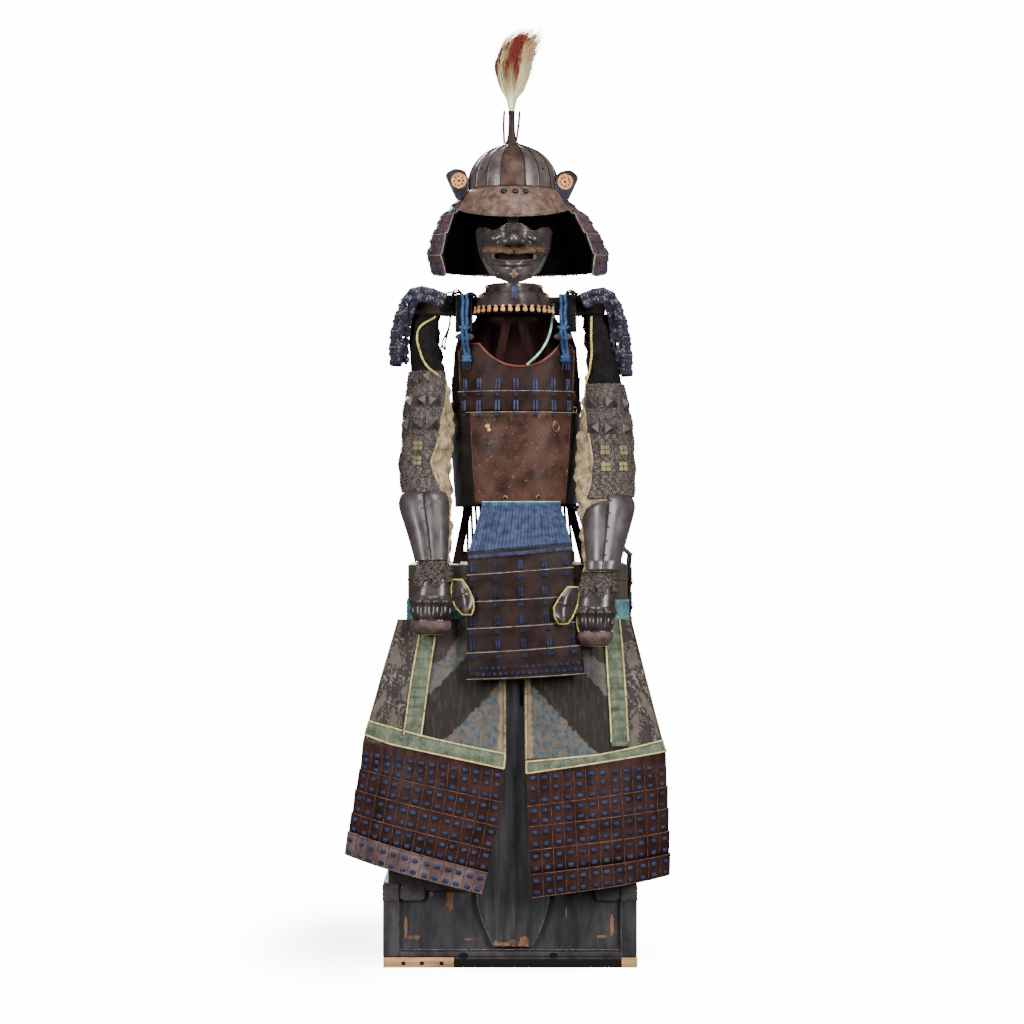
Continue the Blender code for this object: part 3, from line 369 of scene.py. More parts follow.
def make_looks():
    return {
        "bowl": worn("bowl_iron", (62, 51, 49), (104, 90, 86), 0.34, 0.2, 30.0, 600.0, rubbed=(132, 112, 102),
            rubbed_from=0.66, shine=0.5),
        "bowl_front": worn("bowl_front_iron", (46, 29, 24), (84, 56, 47), 0.38, 0.1, 34.0, 500.0,
            rubbed=(64, 52, 48), rubbed_from=0.6),
        "brim": worn("brim_iron", (74, 54, 46), (128, 102, 88), 0.38, 0.1, 70.0, 500.0,
            rubbed=(158, 132, 112), rubbed_from=0.6),
        "neck_red": worn("neck_lacquer", (50, 36, 38), (100, 68, 64), 0.36, 0.05, 26.0,
            rubbed=(112, 104, 116), rubbed_from=0.58),
        "black": worn("black_lacquer", (15, 12, 13), (32, 27, 29), 0.26, 0.0, 24.0, coat=0.2,
            rubbed=(70, 52, 42), rubbed_from=0.69),
        "blue_black": worn("turned_plate", (34, 32, 38), (62, 59, 68), 0.28, 0.05, 30.0, coat=0.2,
            rubbed=(112, 92, 80), rubbed_from=0.68),
        "gilt": worn("gilt", (150, 106, 66), (212, 166, 112), 0.5, 0.0, 160.0),
        "mask": worn("mask_lacquer", (52, 43, 42), (90, 79, 77), 0.3, 0.1, 45.0, 300.0, 0.0004, coat=0.25,
            rubbed=(112, 90, 80), rubbed_from=0.66, shine=0.5),
        "mask_lip": worn("mask_lip", (60, 36, 32), (92, 66, 60), 0.3, 0.0, 60.0),
        # painted shade: near-black for holes, hollows, the steps at the helmet's ribs and the gap under the chest
        "painted_shade": worn("painted_shade", (8, 5, 5), (16, 9, 9), 0.8),
        "red_inside": worn("red_inside", (20, 5, 5), (46, 10, 10), 0.5, 0.0, 12.0),
        "leather": worn("breast_leather", (26, 17, 15), (56, 34, 28), 0.42, 0.0, 22.0, 300.0, 0.0005,
            rubbed=(74, 48, 40), rubbed_from=0.67, shine=0.06),
        "leather_red": worn("front_leather", (44, 28, 22), (88, 56, 44), 0.42, 0.0, 20.0, 260.0, 0.0006,
            rubbed=(128, 98, 82), rubbed_from=0.60, shine=0.1),
        "rim_red": worn("rim_red", (86, 38, 28), (130, 68, 52), 0.4, 0.0, 50.0),
        "rim_dark": worn("rim_dark", (56, 30, 25), (92, 56, 46), 0.4, 0.0, 50.0),
        # painted highlight: light lines where the lames' top edges catch the light
        "lame_edge_highlight": worn("lame_edge_highlight", (104, 88, 80), (156, 144, 136), 0.45, 0.0, 60.0, rubbed=(80, 60, 52),
            rubbed_from=0.58),
        # painted highlight: light lines where the scales' edges and seams catch the light
        "scale_edge_highlight": worn("scale_edge_highlight", (84, 58, 52), (136, 106, 98), 0.5, 0.0, 60.0, rubbed=(44, 26, 24),
            rubbed_from=0.52),
        "skirt": worn("skirt_leather", (28, 19, 18), (54, 38, 35), 0.42, 0.0, 20.0, 320.0, 0.0004,
            rubbed=(74, 54, 48), rubbed_from=0.68, shine=0.06),
        "red": worn("red_lacquer", (34, 18, 16), (64, 34, 29), 0.38, 0.0, 24.0, 300.0, 0.0004,
            rubbed=(84, 58, 52), rubbed_from=0.68, shine=0.08),
        "red_grey": worn("worn_red_lacquer", (74, 50, 50), (122, 100, 100), 0.42, 0.0, 22.0, 300.0, 0.0004),
        "glossy": worn("forearm_lacquer", (44, 36, 36), (76, 66, 66), 0.32, 0.1, 20.0, 500.0, 0.0002,
            coat=0.12, shine=0.5),
        "hand": worn("hand_lacquer", (36, 29, 28), (66, 56, 54), 0.26, 0.1, 30.0, 400.0, 0.0004, coat=0.25),
        "roll": worn("rolled_leather", (62, 44, 41), (100, 80, 76), 0.55, 0.0, 60.0, 300.0, 0.0005),
        "steel": worn("plain_iron", (58, 50, 46), (104, 94, 88), 0.4, 0.3, 60.0),
        "brass": worn("old_brass", (84, 64, 50), (140, 114, 88), 0.38, 0.3, 90.0),
        "patina": worn("patina", (52, 60, 56), (86, 94, 88), 0.5, 0.1, 90.0),
        "strap_iron": worn("strap_iron", (50, 46, 46), (80, 74, 72), 0.42, 0.15, 50.0, 300.0, 0.0005,
            rubbed=(112, 96, 84), rubbed_from=0.66),
        "mail": mail_look("mail_cloth", (30, 25, 24), (104, 94, 88)),
        "link": worn("mail_links", (60, 52, 49), (128, 117, 110), 0.42, 0.3, 90.0),
        "pyramid": worn("pyramid_plates", (42, 37, 35), (84, 77, 73), 0.3, 0.15, 60.0),
        "patch": woven("woven_patches", (112, 100, 74), (160, 148, 112), 0.0016, (86, 78, 64)),
        "hemp": woven("hemp_cloth", (122, 110, 86), (188, 176, 146), 0.0016, (84, 82, 76), 40.0,
            worn_from=0.55),
        "black_cloth": woven("black_cloth", (12, 10, 11), (28, 25, 26), 0.0014),
        "piping": woven("yellow_piping", (146, 138, 74), (206, 194, 120), 0.0012, (220, 208, 158), 60.0),
        "cream": woven("cream_piping", (176, 162, 116), (220, 208, 166), 0.0012, (126, 108, 78)),
        "brocade": woven("green_brocade", (76, 84, 70), (128, 134, 110), 0.0030, (96, 118, 112), 40.0),
        "belt": woven("belt_cloth", (58, 98, 102), (108, 152, 154), 0.0015, (138, 166, 160)),
        "print": tinted("printed_cloth"),
        "blue_cord": braided("blue_braid", (30, 50, 88), (60, 94, 136)),
        "violet_cord": braided("violet_lacing", (38, 40, 68), (74, 80, 112)),
        "navy_cord": braided("navy_lacing", (20, 24, 44), (46, 54, 84)),
        "grey_cord": braided("faded_lacing", (42, 52, 82), (78, 92, 124)),
        "bright_cord": braided("bright_braid", (24, 66, 98), (54, 120, 156)),
        "dot_cord": braided("dot_lacing", (26, 33, 58), (54, 68, 104)),
        "black_cord": braided("black_braid", (12, 11, 15), (36, 33, 40)),
        "ivory_cord": braided("ivory_braid", (158, 116, 74), (214, 174, 122), 0.003),
        "green_cord": braided("green_braid", (104, 144, 142), (172, 198, 188), 0.0018),
        "plume": strand_look("plume_hair"),
        "tan_hair": strand_look("moustache_hair", 0.7),
        "charcoal": timber("charcoal_wood", (40, 38, 40), (72, 70, 74), (1.0, 1.0, 0.08), 0.38, RAW_WOOD,
            0.70, 0.046),
        "chest": timber("chest_wood", (40, 38, 41), (74, 71, 74), (0.5, 0.5, 0.16), 0.45, RAW_WOOD, 0.66),
        "worn_edge": worn("worn_edge", (86, 84, 86), (134, 130, 130), 0.5, 0.0, 40.0, rubbed=(60, 58, 60),
            rubbed_from=0.5),
        "raw_wood": timber("raw_wood", (92, 66, 48), (150, 112, 80), (1.0, 1.0, 0.05), 0.7),
        "chest_body": timber("chest_body_wood", (50, 45, 39), (84, 75, 64), (1.0, 1.0, 0.06), 0.45),
        "pale_wood": timber("pale_wood", (140, 116, 78), (196, 170, 124), (0.1, 1.0, 1.0), 0.6, (96, 76, 52),
            0.62),
        "leg": timber("red_legs", (28, 12, 10), (62, 30, 24), (1.0, 1.0, 0.06), 0.4),
        "bar": timber("bar_wood", (36, 25, 23), (74, 56, 50), (0.08, 1.0, 1.0), 0.42),
    }


LOOKS = make_looks()


# Makers of pieces

def put_in(name, mesh, look, slot, nodes=(), body="armour"):
    """Link a mesh as a piece that rides on a body and stands for some CAD nodes."""
    piece = bpy.data.objects.new(name, mesh)
    bpy.context.scene.collection.objects.link(piece)
    if not mesh.materials:
        mesh.materials.append(LOOKS[look])
    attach(piece, body)
    if nodes:
        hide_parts(*nodes)
    return piece


def sheet_of(name, rows, thickness, look, slot, nodes=(), closed=False, skip=None, body="armour", colours=None,
             sharp=38.0):
    """A thick sheet through rows of points listed down and to the right, with its UV in metres."""
    width = len(rows[0])
    faces = []
    corners = []
    lengths = [[0.0] for row in rows]
    for number, row in enumerate(rows):
        for c in range(width if closed else width - 1):
            lengths[number].append(lengths[number][-1] + (row[(c + 1) % width] - row[c]).length)
    middle = width // 2
    drops = [0.0]
    for r in range(len(rows) - 1):
        drops.append(drops[-1] + (rows[r + 1][middle] - rows[r][middle]).length)
    for r in range(len(rows) - 1):
        for c in range(width if closed else width - 1):
            if skip and skip(r, c):
                continue
            n = (c + 1) % width
            faces.append((r * width + c, (r + 1) * width + c, (r + 1) * width + n, r * width + n))
            corners += [(r, c), (r + 1, c), (r + 1, c + 1), (r, c + 1)]
    used = sorted({i for face in faces for i in face})
    renumber = {old: new for new, old in enumerate(used)}
    points = [p for row in rows for p in row]
    mesh = bpy.data.meshes.new(name)
    mesh.from_pydata([points[i] for i in used], [], [tuple(renumber[i] for i in face) for face in faces])
    places = mesh.uv_layers.new(name="cloth").data
    for loop, (r, c) in enumerate(corners):
        places[loop].uv = (lengths[r][c] - lengths[r][-1] / 2, -drops[r])
    if colours:
        paint = mesh.attributes.new("print", "FLOAT_COLOR", "POINT")
        flat = [c for row in colours for c in row]
        for new, old in enumerate(used):
            paint.data[new].color = (*flat[old], 1.0)
    mesh.shade_smooth()
    mesh.set_sharp_from_angle(angle=math.radians(sharp))
    piece = put_in(name, mesh, look, slot, nodes, body)
    if thickness:
        thick = piece.modifiers.new("thickness", "SOLIDIFY")
        thick.thickness = thickness
        thick.offset = -1.0
        thick.use_even_offset = False
    return piece


def relief(name, skin, across, down, look, slot, rise=None, out=0.0, thickness=IRON, **more):
    """A sheet over a surface, moved out by a base amount and a relief rise(u, v)."""
    rows = [[skin(u, v, out + (rise(u, v) if rise else 0.0)) for u in across] for v in down]
    return sheet_of(name, rows, thickness, look, slot, **more)


def lame_places(lames, steps=4):
    """Values of v down a laced panel: close pairs where one lame's foot meets the next one's top."""
    made = []
    for lame in range(lames):
        made += [lame + 0.004] + spread(lame + 0.06, lame + 0.985, steps)
    return made + [float(lames)]


def lame_rise(proud, first=None, lip=0.0006):
    """The height of overlapping lames: each stands out at its top, with a rounded lip."""
    def rise(u, v):
        lame = int(min(v, 1e6))
        part = v - lame
        top = first if first is not None and lame == 0 else proud
        return top * (1.0 - part) + (lip if 0.03 < part < 0.1 else 0.0)
    return rise


def slab(name, low, high, look, slot, bevel=0.0015, nodes=(), body="armour"):
    """A board with eased edges."""
    x, y, z = ([a, b] for a, b in zip(low, high))
    points = [(x[i & 1], y[i >> 1 & 1], z[i >> 2]) for i in range(8)]
    faces = [(0, 1, 5, 4), (1, 3, 7, 5), (3, 2, 6, 7), (2, 0, 4, 6), (4, 5, 7, 6), (1, 0, 2, 3)]
    mesh = bpy.data.meshes.new(name)
    mesh.from_pydata(points, [], faces)
    mesh.shade_smooth()
    piece = put_in(name, mesh, look, slot, nodes, body)
    soft = piece.modifiers.new("eased_edges", "BEVEL")
    soft.width = bevel
    soft.segments = 3
    return piece


def board(name, outline, y_front, y_back, look, slot, bevel=0.0008, nodes=()):
    """A flat board from an outline of (x, z) points, anticlockwise seen from the front."""
    count = len(outline)
    points = [(x, y_front, z) for x, z in outline] + [(x, y_back, z) for x, z in outline]
    faces = [tuple(range(count)), tuple(range(2 * count - 1, count - 1, -1))]
    faces += [(i, i + count, (i + 1) % count + count, (i + 1) % count) for i in range(count)]
    mesh = bpy.data.meshes.new(name)
    mesh.from_pydata(points, [], faces)
    piece = put_in(name, mesh, look, slot, nodes)
    soft = piece.modifiers.new("eased_edges", "BEVEL")
    soft.width = bevel
    soft.segments = 2
    soft.limit_method = "ANGLE"
    return piece


def rounded(corners, radius, steps=5):
    """An outline with each corner turned into a small arc-like curve."""
    made = []
    count = len(corners)
    for i, corner in enumerate(corners):
        here = Vector(corner)
        before = Vector(corners[i - 1])
        after = Vector(corners[(i + 1) % count])
        start = here + (before - here).normalized() * min(radius, (before - here).length * 0.45)
        end = here + (after - here).normalized() * min(radius, (after - here).length * 0.45)
        for t in spread(0.0, 1.0, steps):
            made.append(tuple(start * (1 - t) ** 2 + here * 2 * t * (1 - t) + end * t * t))
    return made


# Geometry trees for what repeats

def new_tree(name, sockets):
    tree = bpy.data.node_groups.new(name, "GeometryNodeTree")
    tree.interface.new_socket("Geometry", in_out="INPUT", socket_type="NodeSocketGeometry")
    for label, kind in sockets:
        tree.interface.new_socket(label, in_out="INPUT", socket_type="NodeSocket" + kind)
    tree.interface.new_socket("Geometry", in_out="OUTPUT", socket_type="NodeSocketGeometry")
    return tree, tree.nodes.new("NodeGroupInput"), tree.nodes.new("NodeGroupOutput")


def attribute(tree, name, kind):
    node = tree.nodes.new("GeometryNodeInputNamedAttribute")
    node.data_type = kind
    node.inputs["Name"].default_value = name
    return node.outputs["Attribute"]


def close_tree(tree, start, end, geometry):
    """Realize, shade smooth and give the material."""
    link = tree.links.new
    for kind in ("RealizeInstances", "SetShadeSmooth", "SetMaterial"):
        node = tree.nodes.new("GeometryNode" + kind)
        link(geometry, node.inputs[0])
        geometry = node.outputs[0]
    link(start.outputs["Look"], node.inputs["Material"])
    link(geometry, end.inputs[0])


def cord_tree():
    """Round cords along the chains of edges of a mesh, as thick as their own attribute says."""
    tree, start, end = new_tree("cords_on_lines", (("Sides", "Int"), ("Look", "Material")))
    link = tree.links.new
    lines = tree.nodes.new("GeometryNodeMeshToCurve")
    profile = tree.nodes.new("GeometryNodeCurvePrimitiveCircle")
    skin = tree.nodes.new("GeometryNodeCurveToMesh")
    profile.inputs["Radius"].default_value = 1.0
    skin.inputs["Fill Caps"].default_value = True
    link(start.outputs["Geometry"], lines.inputs["Mesh"])
    link(start.outputs["Sides"], profile.inputs["Resolution"])
    link(lines.outputs[0], skin.inputs["Curve"])
    link(profile.outputs["Curve"], skin.inputs["Profile Curve"])
    link(attribute(tree, "thick", "FLOAT"), skin.inputs["Scale"])
    close_tree(tree, start, end, skin.outputs[0])
    return tree


def shape_tree(shape):
    """One shape at each point of a mesh, turned and sized by the point's own attributes."""
    tree, start, end = new_tree("%s_on_points" % shape, (("Detail", "Int"), ("Look", "Material")))
    link = tree.links.new
    if shape == "ball":
        form = tree.nodes.new("GeometryNodeMeshUVSphere")
        form.inputs["Radius"].default_value = 0.5
        form.inputs["Rings"].default_value = 6
        link(start.outputs["Detail"], form.inputs["Segments"])
        made = form.outputs["Mesh"]
    elif shape == "pad":
        form = tree.nodes.new("GeometryNodeMeshCube")
        soft = tree.nodes.new("GeometryNodeSubdivisionSurface")
        soft.inputs["Edge Crease"].default_value = 0.35
        link(form.outputs["Mesh"], soft.inputs["Mesh"])
        link(start.outputs["Detail"], soft.inputs["Level"])
        made = soft.outputs[0]
    else:
        circle = tree.nodes.new("GeometryNodeCurvePrimitiveCircle")
        wire = tree.nodes.new("GeometryNodeCurvePrimitiveCircle")
        form = tree.nodes.new("GeometryNodeCurveToMesh")
        circle.inputs["Radius"].default_value = 0.5
        wire.inputs["Radius"].default_value = 0.13
        wire.inputs["Resolution"].default_value = 4
        link(start.outputs["Detail"], circle.inputs["Resolution"])
        link(circle.outputs["Curve"], form.inputs["Curve"])
        link(wire.outputs["Curve"], form.inputs["Profile Curve"])
        made = form.outputs[0]
    place = tree.nodes.new("GeometryNodeInstanceOnPoints")
    link(start.outputs["Geometry"], place.inputs["Points"])
    link(made, place.inputs["Instance"])
    link(attribute(tree, "turn", "FLOAT_VECTOR"), place.inputs["Rotation"])
    link(attribute(tree, "size", "FLOAT_VECTOR"), place.inputs["Scale"])
    close_tree(tree, start, end, place.outputs[0])
    return tree


TREES = {shape: shape_tree(shape) for shape in ("ball", "pad", "hoop")}
TREES["cord"] = cord_tree()


def grown(name, mesh, tree, values, look, slot, nodes=(), body="armour"):
    """Run a geometry tree on a carrier mesh and keep the result as a plain mesh."""
    carrier = bpy.data.objects.new(name + "_carrier", mesh)
    bpy.context.scene.collection.objects.link(carrier)
    repeat = carrier.modifiers.new("repeat", "NODES")
    repeat.node_group = tree
    values = dict(values, Look=LOOKS[look])
    for item in tree.interface.items_tree:
        if item.in_out == "INPUT" and item.name in values:
            repeat[item.identifier] = values[item.name]
    carrier.update_tag()
    graph = bpy.context.evaluated_depsgraph_get()
    made = bpy.data.meshes.new_from_object(carrier.evaluated_get(graph))
    made.name = name
    carrier.modifiers.clear()
    bpy.data.objects.remove(carrier)
    return put_in(name, made, look, slot, nodes, body)


class Spots:
    """A list of places, each with its own directions and size, that one shape is set at."""

    def __init__(self, places=()):
        self.points = []
        self.turns = []
        self.sizes = []
        for place in places:
            self.add(*place)

    @classmethod
    def on(cls, skin, places):
        """Places on a surface, each with u, v, how far out it is, and its size."""
        return cls((axes_on(skin, u, v, out), size) for u, v, out, size in places)

    def add(self, axes, size, lift=0.0):
        point, across, up, outward = axes
        basis = Matrix((across, up, outward)).transposed()
        self.points.append(point + outward * lift)
        self.turns.append(tuple(basis.to_euler()))
        self.sizes.append(size)

    def make(self, name, shape, look, slot, detail=2, nodes=(), body="armour"):
        mesh = bpy.data.meshes.new(name + "_points")
        mesh.from_pydata(self.points, [], [])
        for label, values in (("turn", self.turns), ("size", self.sizes)):
            layer = mesh.attributes.new(label, "FLOAT_VECTOR", "POINT")
            for number, value in enumerate(values):
                layer.data[number].vector = value
        return grown(name, mesh, TREES[shape], {"Detail": detail}, look, slot, nodes, body)


def cords(name, routes, thick, look, slot, sides=8, closed=False, nodes=(), body="armour", colours=None):
    """Cords along routes. thick is one radius, or a function of the share along a route."""
    mesh = bpy.data.meshes.new(name + "_lines")
    points = [p for route in routes for p in route]
    edges = []
    sizes = []
    paints = []
    first = 0
    for route in routes:
        last = len(route) - 1
        edges += [(first + i, first + i + 1) for i in range(last)]
        if closed:
            edges.append((first + last, first))
        for i in range(last + 1):
            sizes.append(thick(i / last) if callable(thick) else thick)
            if colours:
                paints.append(colours(i / last))
        first += last + 1
    mesh.from_pydata(points, edges, [])
    layer = mesh.attributes.new("thick", "FLOAT", "POINT")
    for number, size in enumerate(sizes):
        layer.data[number].value = size
    if colours:
        paint = mesh.attributes.new("print", "FLOAT_COLOR", "POINT")
        for number, value in enumerate(paints):
            paint.data[number].color = (*value, 1.0)
    return grown(name, mesh, TREES["cord"], {"Sides": sides}, look, slot, nodes, body)


def along(skin, places, out):
    """A route over a surface through (u, v) places."""
    return [skin(u, v, out) for u, v in places]


def level_axes(point, outward=FRONT):
    """Upright directions at a point that faces outward."""
    across = UP.cross(outward).normalized()
    return Vector(point), across, outward.cross(across), outward


# Camera, light and floor

EYE = (0.0044, -6.0, 0.974)
LENS = 95.98
SENSOR = 36.0
SKY_LIGHT = 0.22
FLOOR_LIGHT = 15.0
ARMOUR_MIDDLE = Vector((0, 0, 1.05))
LIGHTS = (
    # name, place, width, height, power
    ("key", (2.7, -3.5, 2.5), 1.0, 2.6, 330.0),
    ("fill", (-2.9, -3.3, 2.3), 0.9, 2.6, 250.0),
    ("top", (0.2, -2.2, 5.0), 1.6, 1.6, 170.0),
    ("back", (-0.8, 4.2, 3.0), 1.8, 2.2, 330.0),
)


def make_stage():
    eye = bpy.data.cameras.new("camera")
    eye.lens = LENS
    eye.sensor_width = SENSOR
    camera = bpy.data.objects.new("camera", eye)
    camera.location = EYE
    camera.rotation_euler = (math.pi / 2, 0.0, 0.0)
    bpy.context.scene.collection.objects.link(camera)
    bpy.context.scene.camera = camera

    world = bpy.data.worlds.new("studio")
    bpy.context.scene.world = world
    world.use_nodes = True
    sky = world.node_tree.nodes["Background"].inputs
    sky[0].default_value = (1.0, 1.0, 1.0, 1.0)
    sky[1].default_value = SKY_LIGHT

    for name, place, width, height, power in LIGHTS:
        lamp = bpy.data.lights.new(name, "AREA")
        lamp.shape = "RECTANGLE"
        lamp.size = width
        lamp.size_y = height
        lamp.energy = power
        light = bpy.data.objects.new(name, lamp)
        light.location = place
        light.rotation_euler = (ARMOUR_MIDDLE - Vector(place)).to_track_quat("-Z", "Y").to_euler()
        bpy.context.scene.collection.objects.link(light)
    make_backdrop()


def make_backdrop():
    """A white floor and dome that only the camera sees, with the chest's soft shadow worked into the floor."""
    paint = Look("floor_paint")
    place = paint.tree.nodes.new("ShaderNodeSeparateXYZ")
    paint.tree.links.new(paint.place(), place.inputs[0])
    light = FLOOR_LIGHT
    for middle, reach, depth in (((-0.36, 0.22), (0.34, 0.75), 0.62), ((0.02, 0.04), (0.40, 0.34), 0.8)):
        parts = []
        for axis in (0, 1):
            off = paint.calc("DIVIDE", paint.calc("SUBTRACT", place.outputs[axis], middle[axis]), reach[axis])
            parts.append(paint.calc("MULTIPLY", off, off))
        away = paint.calc("MINIMUM", paint.calc("ADD", *parts), 1.0)
        fade = paint.calc("POWER", paint.calc("SUBTRACT", 1.0, away), 2.0)
        light = paint.calc("MULTIPLY", light, paint.calc("SUBTRACT", 1.0, paint.calc("MULTIPLY", fade, depth)))
    paint.set(Base_Color=(0.0, 0.0, 0.0), Specular_IOR_Level=0.0, Emission_Color=(1.0, 1.0, 1.0),
              Emission_Strength=light)
    reach = 24.0
    rings = 24
    floor = [Vector((0, 0, 0))] + [Vector((reach * math.cos(t), reach * math.sin(t), 0.0))
                                   for t in round_turns(rings)]
    dome = []
    for lean in spread(0.0, 88.0, 8):
        for t in round_turns(rings):
            flat = reach * math.cos(math.radians(lean))
            dome.append(Vector((flat * math.cos(t), flat * math.sin(t), reach * math.sin(math.radians(lean)))))
    shapes = (
        ("floor", floor, [(0, i + 1, (i + 1) % rings + 1) for i in range(rings)]),
        ("dome", dome, [(r * rings + i, r * rings + (i + 1) % rings, (r + 1) * rings + (i + 1) % rings,
                         (r + 1) * rings + i) for r in range(8) for i in range(rings)]),
    )
    for name, points, faces in shapes:
        mesh = bpy.data.meshes.new(name)
        mesh.from_pydata(points, [], faces)
        mesh.materials.append(paint.material)
        screen = bpy.data.objects.new(name, mesh)
        bpy.context.scene.collection.objects.link(screen)
        for ray in ("diffuse", "glossy", "transmission", "shadow"):
            setattr(screen, "visible_" + ray, False)


def make_green_cord():
    route = smooth_route(((0.0950, -0.0154, 1.430), (0.0945, -0.0290, 1.412), (0.0860, -0.0820, 1.360),
                          (0.0660, -0.1200, 1.320), (0.0365, -0.1215, 1.2910)), 22)
    piece = cords("green_cord_braid", [route], 0.0026, "green_cord", "belt_cloth", 10, nodes=("green_cord",))
    length = sum((b - a).length for a, b in zip(route, route[1:]))
    tuple(route[0])
    [tuple(p) for p in route]


# Chest, plank and frame

def paint_nodes(look, *nodes):
    for node in nodes:
        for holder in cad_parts[node].material_slots:
            holder.material = LOOKS[look]


CHIPS = (
    # x, z, width and height of a spot on the chest's panel or rail where bare wood shows
    (-0.128, 0.150, 0.024, 0.062), (-0.222, 0.086, 0.010, 0.052), (-0.205, 0.064, 0.034, 0.010),
    (0.218, 0.090, 0.012, 0.056), (0.196, 0.066, 0.030, 0.008), (-0.168, 0.160, 0.012, 0.020),
    (0.120, 0.118, 0.004, 0.030), (0.150, 0.160, 0.005, 0.022), (-0.085, 0.060, 0.030, 0.006),
)


PLANK_CHIPS = (
    (0.030, 0.058, 0.026, 0.024), (-0.012, 0.051, 0.040, 0.010), (-0.031, 0.053, 0.014, 0.014),
    (0.006, 0.056, 0.020, 0.014), (-0.048, 0.310, 0.006, 0.030), (-0.056, 0.300, 0.006, 0.016),
)


def chip(name, x, z, width, height, y):
    """A splintered spot of bare wood with a ragged outline."""
    outline = []
    for t in round_turns(22):
        ragged = 0.55 + 0.45 * random.random()
        outline.append((x + width / 2 * ragged * math.cos(t),
                        z + height / 2 * (0.4 + 0.6 * ragged) * math.sin(t)))
    board(name, outline, y - 0.0004, y + 0.0008, "raw_wood", "dark_wood", 0.0001)


def make_chest():
    paint_nodes("chest", "chest_base", "chest_body")
    paint_nodes("chest_body", "chest_top")
    paint_nodes("bar", "crossbar", "head_post")
    paint_nodes("leg", "leg_left", "leg_right")
    make_straps()
    make_base_rails()
    # a moulding round the lid and the line where the lid lifts off
    low_x, high_x = LID_MIDDLE - LID_HALF_WIDTH, LID_MIDDLE + LID_HALF_WIDTH
    for name, z in (("lid_band", 0.8300), ("lid_band_low", 0.5350)):
        route = [Vector((x, y, z)) for x, y in ((low_x, CHEST_FRONT), (high_x, CHEST_FRONT), (high_x, CHEST_BACK),
                                                (low_x, CHEST_BACK))]
        cords(name, [route], 0.0022, "chest_body", "dark_wood", 8, closed=True)
    make_plank()


def make_straps():
    """Corner posts with an iron strap round each, nailed."""
    post, strap_low, strap_high = 0.0335, 0.1425, 0.1785
    front = CHEST_FRONT
    nail = (0.0042, 0.0042, 0.0022)
    nails = Spots()
    for side, sign in (("left", -1.0), ("right", 1.0)):
        low_x, high_x = sorted((sign * (CHEST_HALF_WIDTH + 0.0005), sign * (CHEST_HALF_WIDTH - post)))
        slab("chest_post_" + side, (low_x, front - 0.0050, 0.0240), (high_x, front + 0.004, CHEST_BASE_TOP - 0.0005),
             "chest", "dark_wood", 0.0022)
        edge_x = sign * (CHEST_HALF_WIDTH - post)
        cords("post_edge_" + side, [[Vector((edge_x, front - 0.0046, z)) for z in (0.026, 0.09, 0.142)]], 0.0007,
              "worn_edge", "dark_wood", 6)
        slab("post_strap_" + side, (low_x - 0.0008, front - 0.0068, strap_low),
             (high_x + 0.0008, front + 0.002, strap_high), "strap_iron", "russet_iron", 0.0012)
        inner = sign * (CHEST_HALF_WIDTH - post - 0.001)
        far = sign * 0.1815
        outline = [(inner, strap_low + 0.001), (far, strap_low + 0.001), (far, strap_high - 0.001),
                   (inner, strap_high - 0.001)]
        if sign > 0:
            outline = outline[::-1]
        board("strap_end_" + side, rounded(outline, 0.014), CHEST_PANEL - 0.0090, CHEST_PANEL + 0.0005,
              "strap_iron", "russet_iron", 0.0006)
        for x, z in ((0.231, 0.150), (0.231, 0.171), (0.210, 0.150), (0.210, 0.171), (0.190, 0.1605)):
            nails.add(level_axes((sign * x, CHEST_PANEL - 0.0090, z)), nail)
        for z in (strap_low + 0.007, strap_high - 0.007):
            nails.add(level_axes((sign * 0.254, front - 0.0068, z)), nail)
        # the same strap goes round the side of the chest
        side_x = sign * (CHEST_HALF_WIDTH + 0.0009)
        a, b = sorted((side_x, side_x - sign * 0.0016))
        slab("side_strap_" + side, (a, front - 0.004, strap_low), (b, front + 0.09, strap_high), "strap_iron",
             "russet_iron", 0.0006)
    nails.make("strap_nails", "ball", "steel", "russet_iron", 10)


def make_base_rails():
    """The pale runner, the shaded gap over the floor painted as a dark strip, the lower rail with its holes painted as
    dark shade, chips and the panel's bead.
    """
    front = CHEST_FRONT
    boards = (
        # name, low and high corner, look, how far its edges are eased
        ("base_runner", (-0.2690, front - 0.0042, 0.0006), (-0.1197, front + 0.004, 0.0222), "pale_wood", 0.0012),
        ("base_runner_right", (0.2385, front - 0.0042, 0.0006), (0.2725, front + 0.004, 0.0222), "pale_wood", 0.0012),
        ("base_shadow_gap", (-0.1195, front - 0.0008, 0.0004), (0.2383, front + 0.003, 0.0186), "painted_shade", 0.0004),
        ("base_rail_front", (-0.2372, front - 0.0026, 0.0240), (0.2372, front + 0.001, 0.0345), "chest", 0.0016),
    )
    for name, low, high, look, bevel in boards:
        slab(name, low, high, look, "dark_wood", bevel)
    for number, x in enumerate((-0.099, 0.093)):
        hole = [(x + 0.0098 * math.cos(t), 0.0268 + 0.0060 * math.sin(t)) for t in round_turns(24)]
        board("rope_hole_shade_%d" % number, hole, front - 0.0031, front + 0.0005, "painted_shade", "dark_wood", 0.0002)
    # painted shade: dark slabs stand for the three square peg holes
    for number, x in enumerate((-0.2276, -0.1881, -0.1460)):
        slab("peg_hole_shade_%d" % number, (x - 0.0042, front - 0.0045, 0.0062), (x + 0.0042, front - 0.003, 0.0138),
             "painted_shade", "dark_wood", 0.0003)
    for number, spot in enumerate(CHIPS):
        chip("panel_chip_%d" % number, *spot, CHEST_PANEL)
    bead = [Vector((x, front - 0.0004, 0.0385)) for x in (-0.244, 0.244)]
    cords("panel_bead", [bead], 0.0010, "worn_edge", "dark_wood", 6)


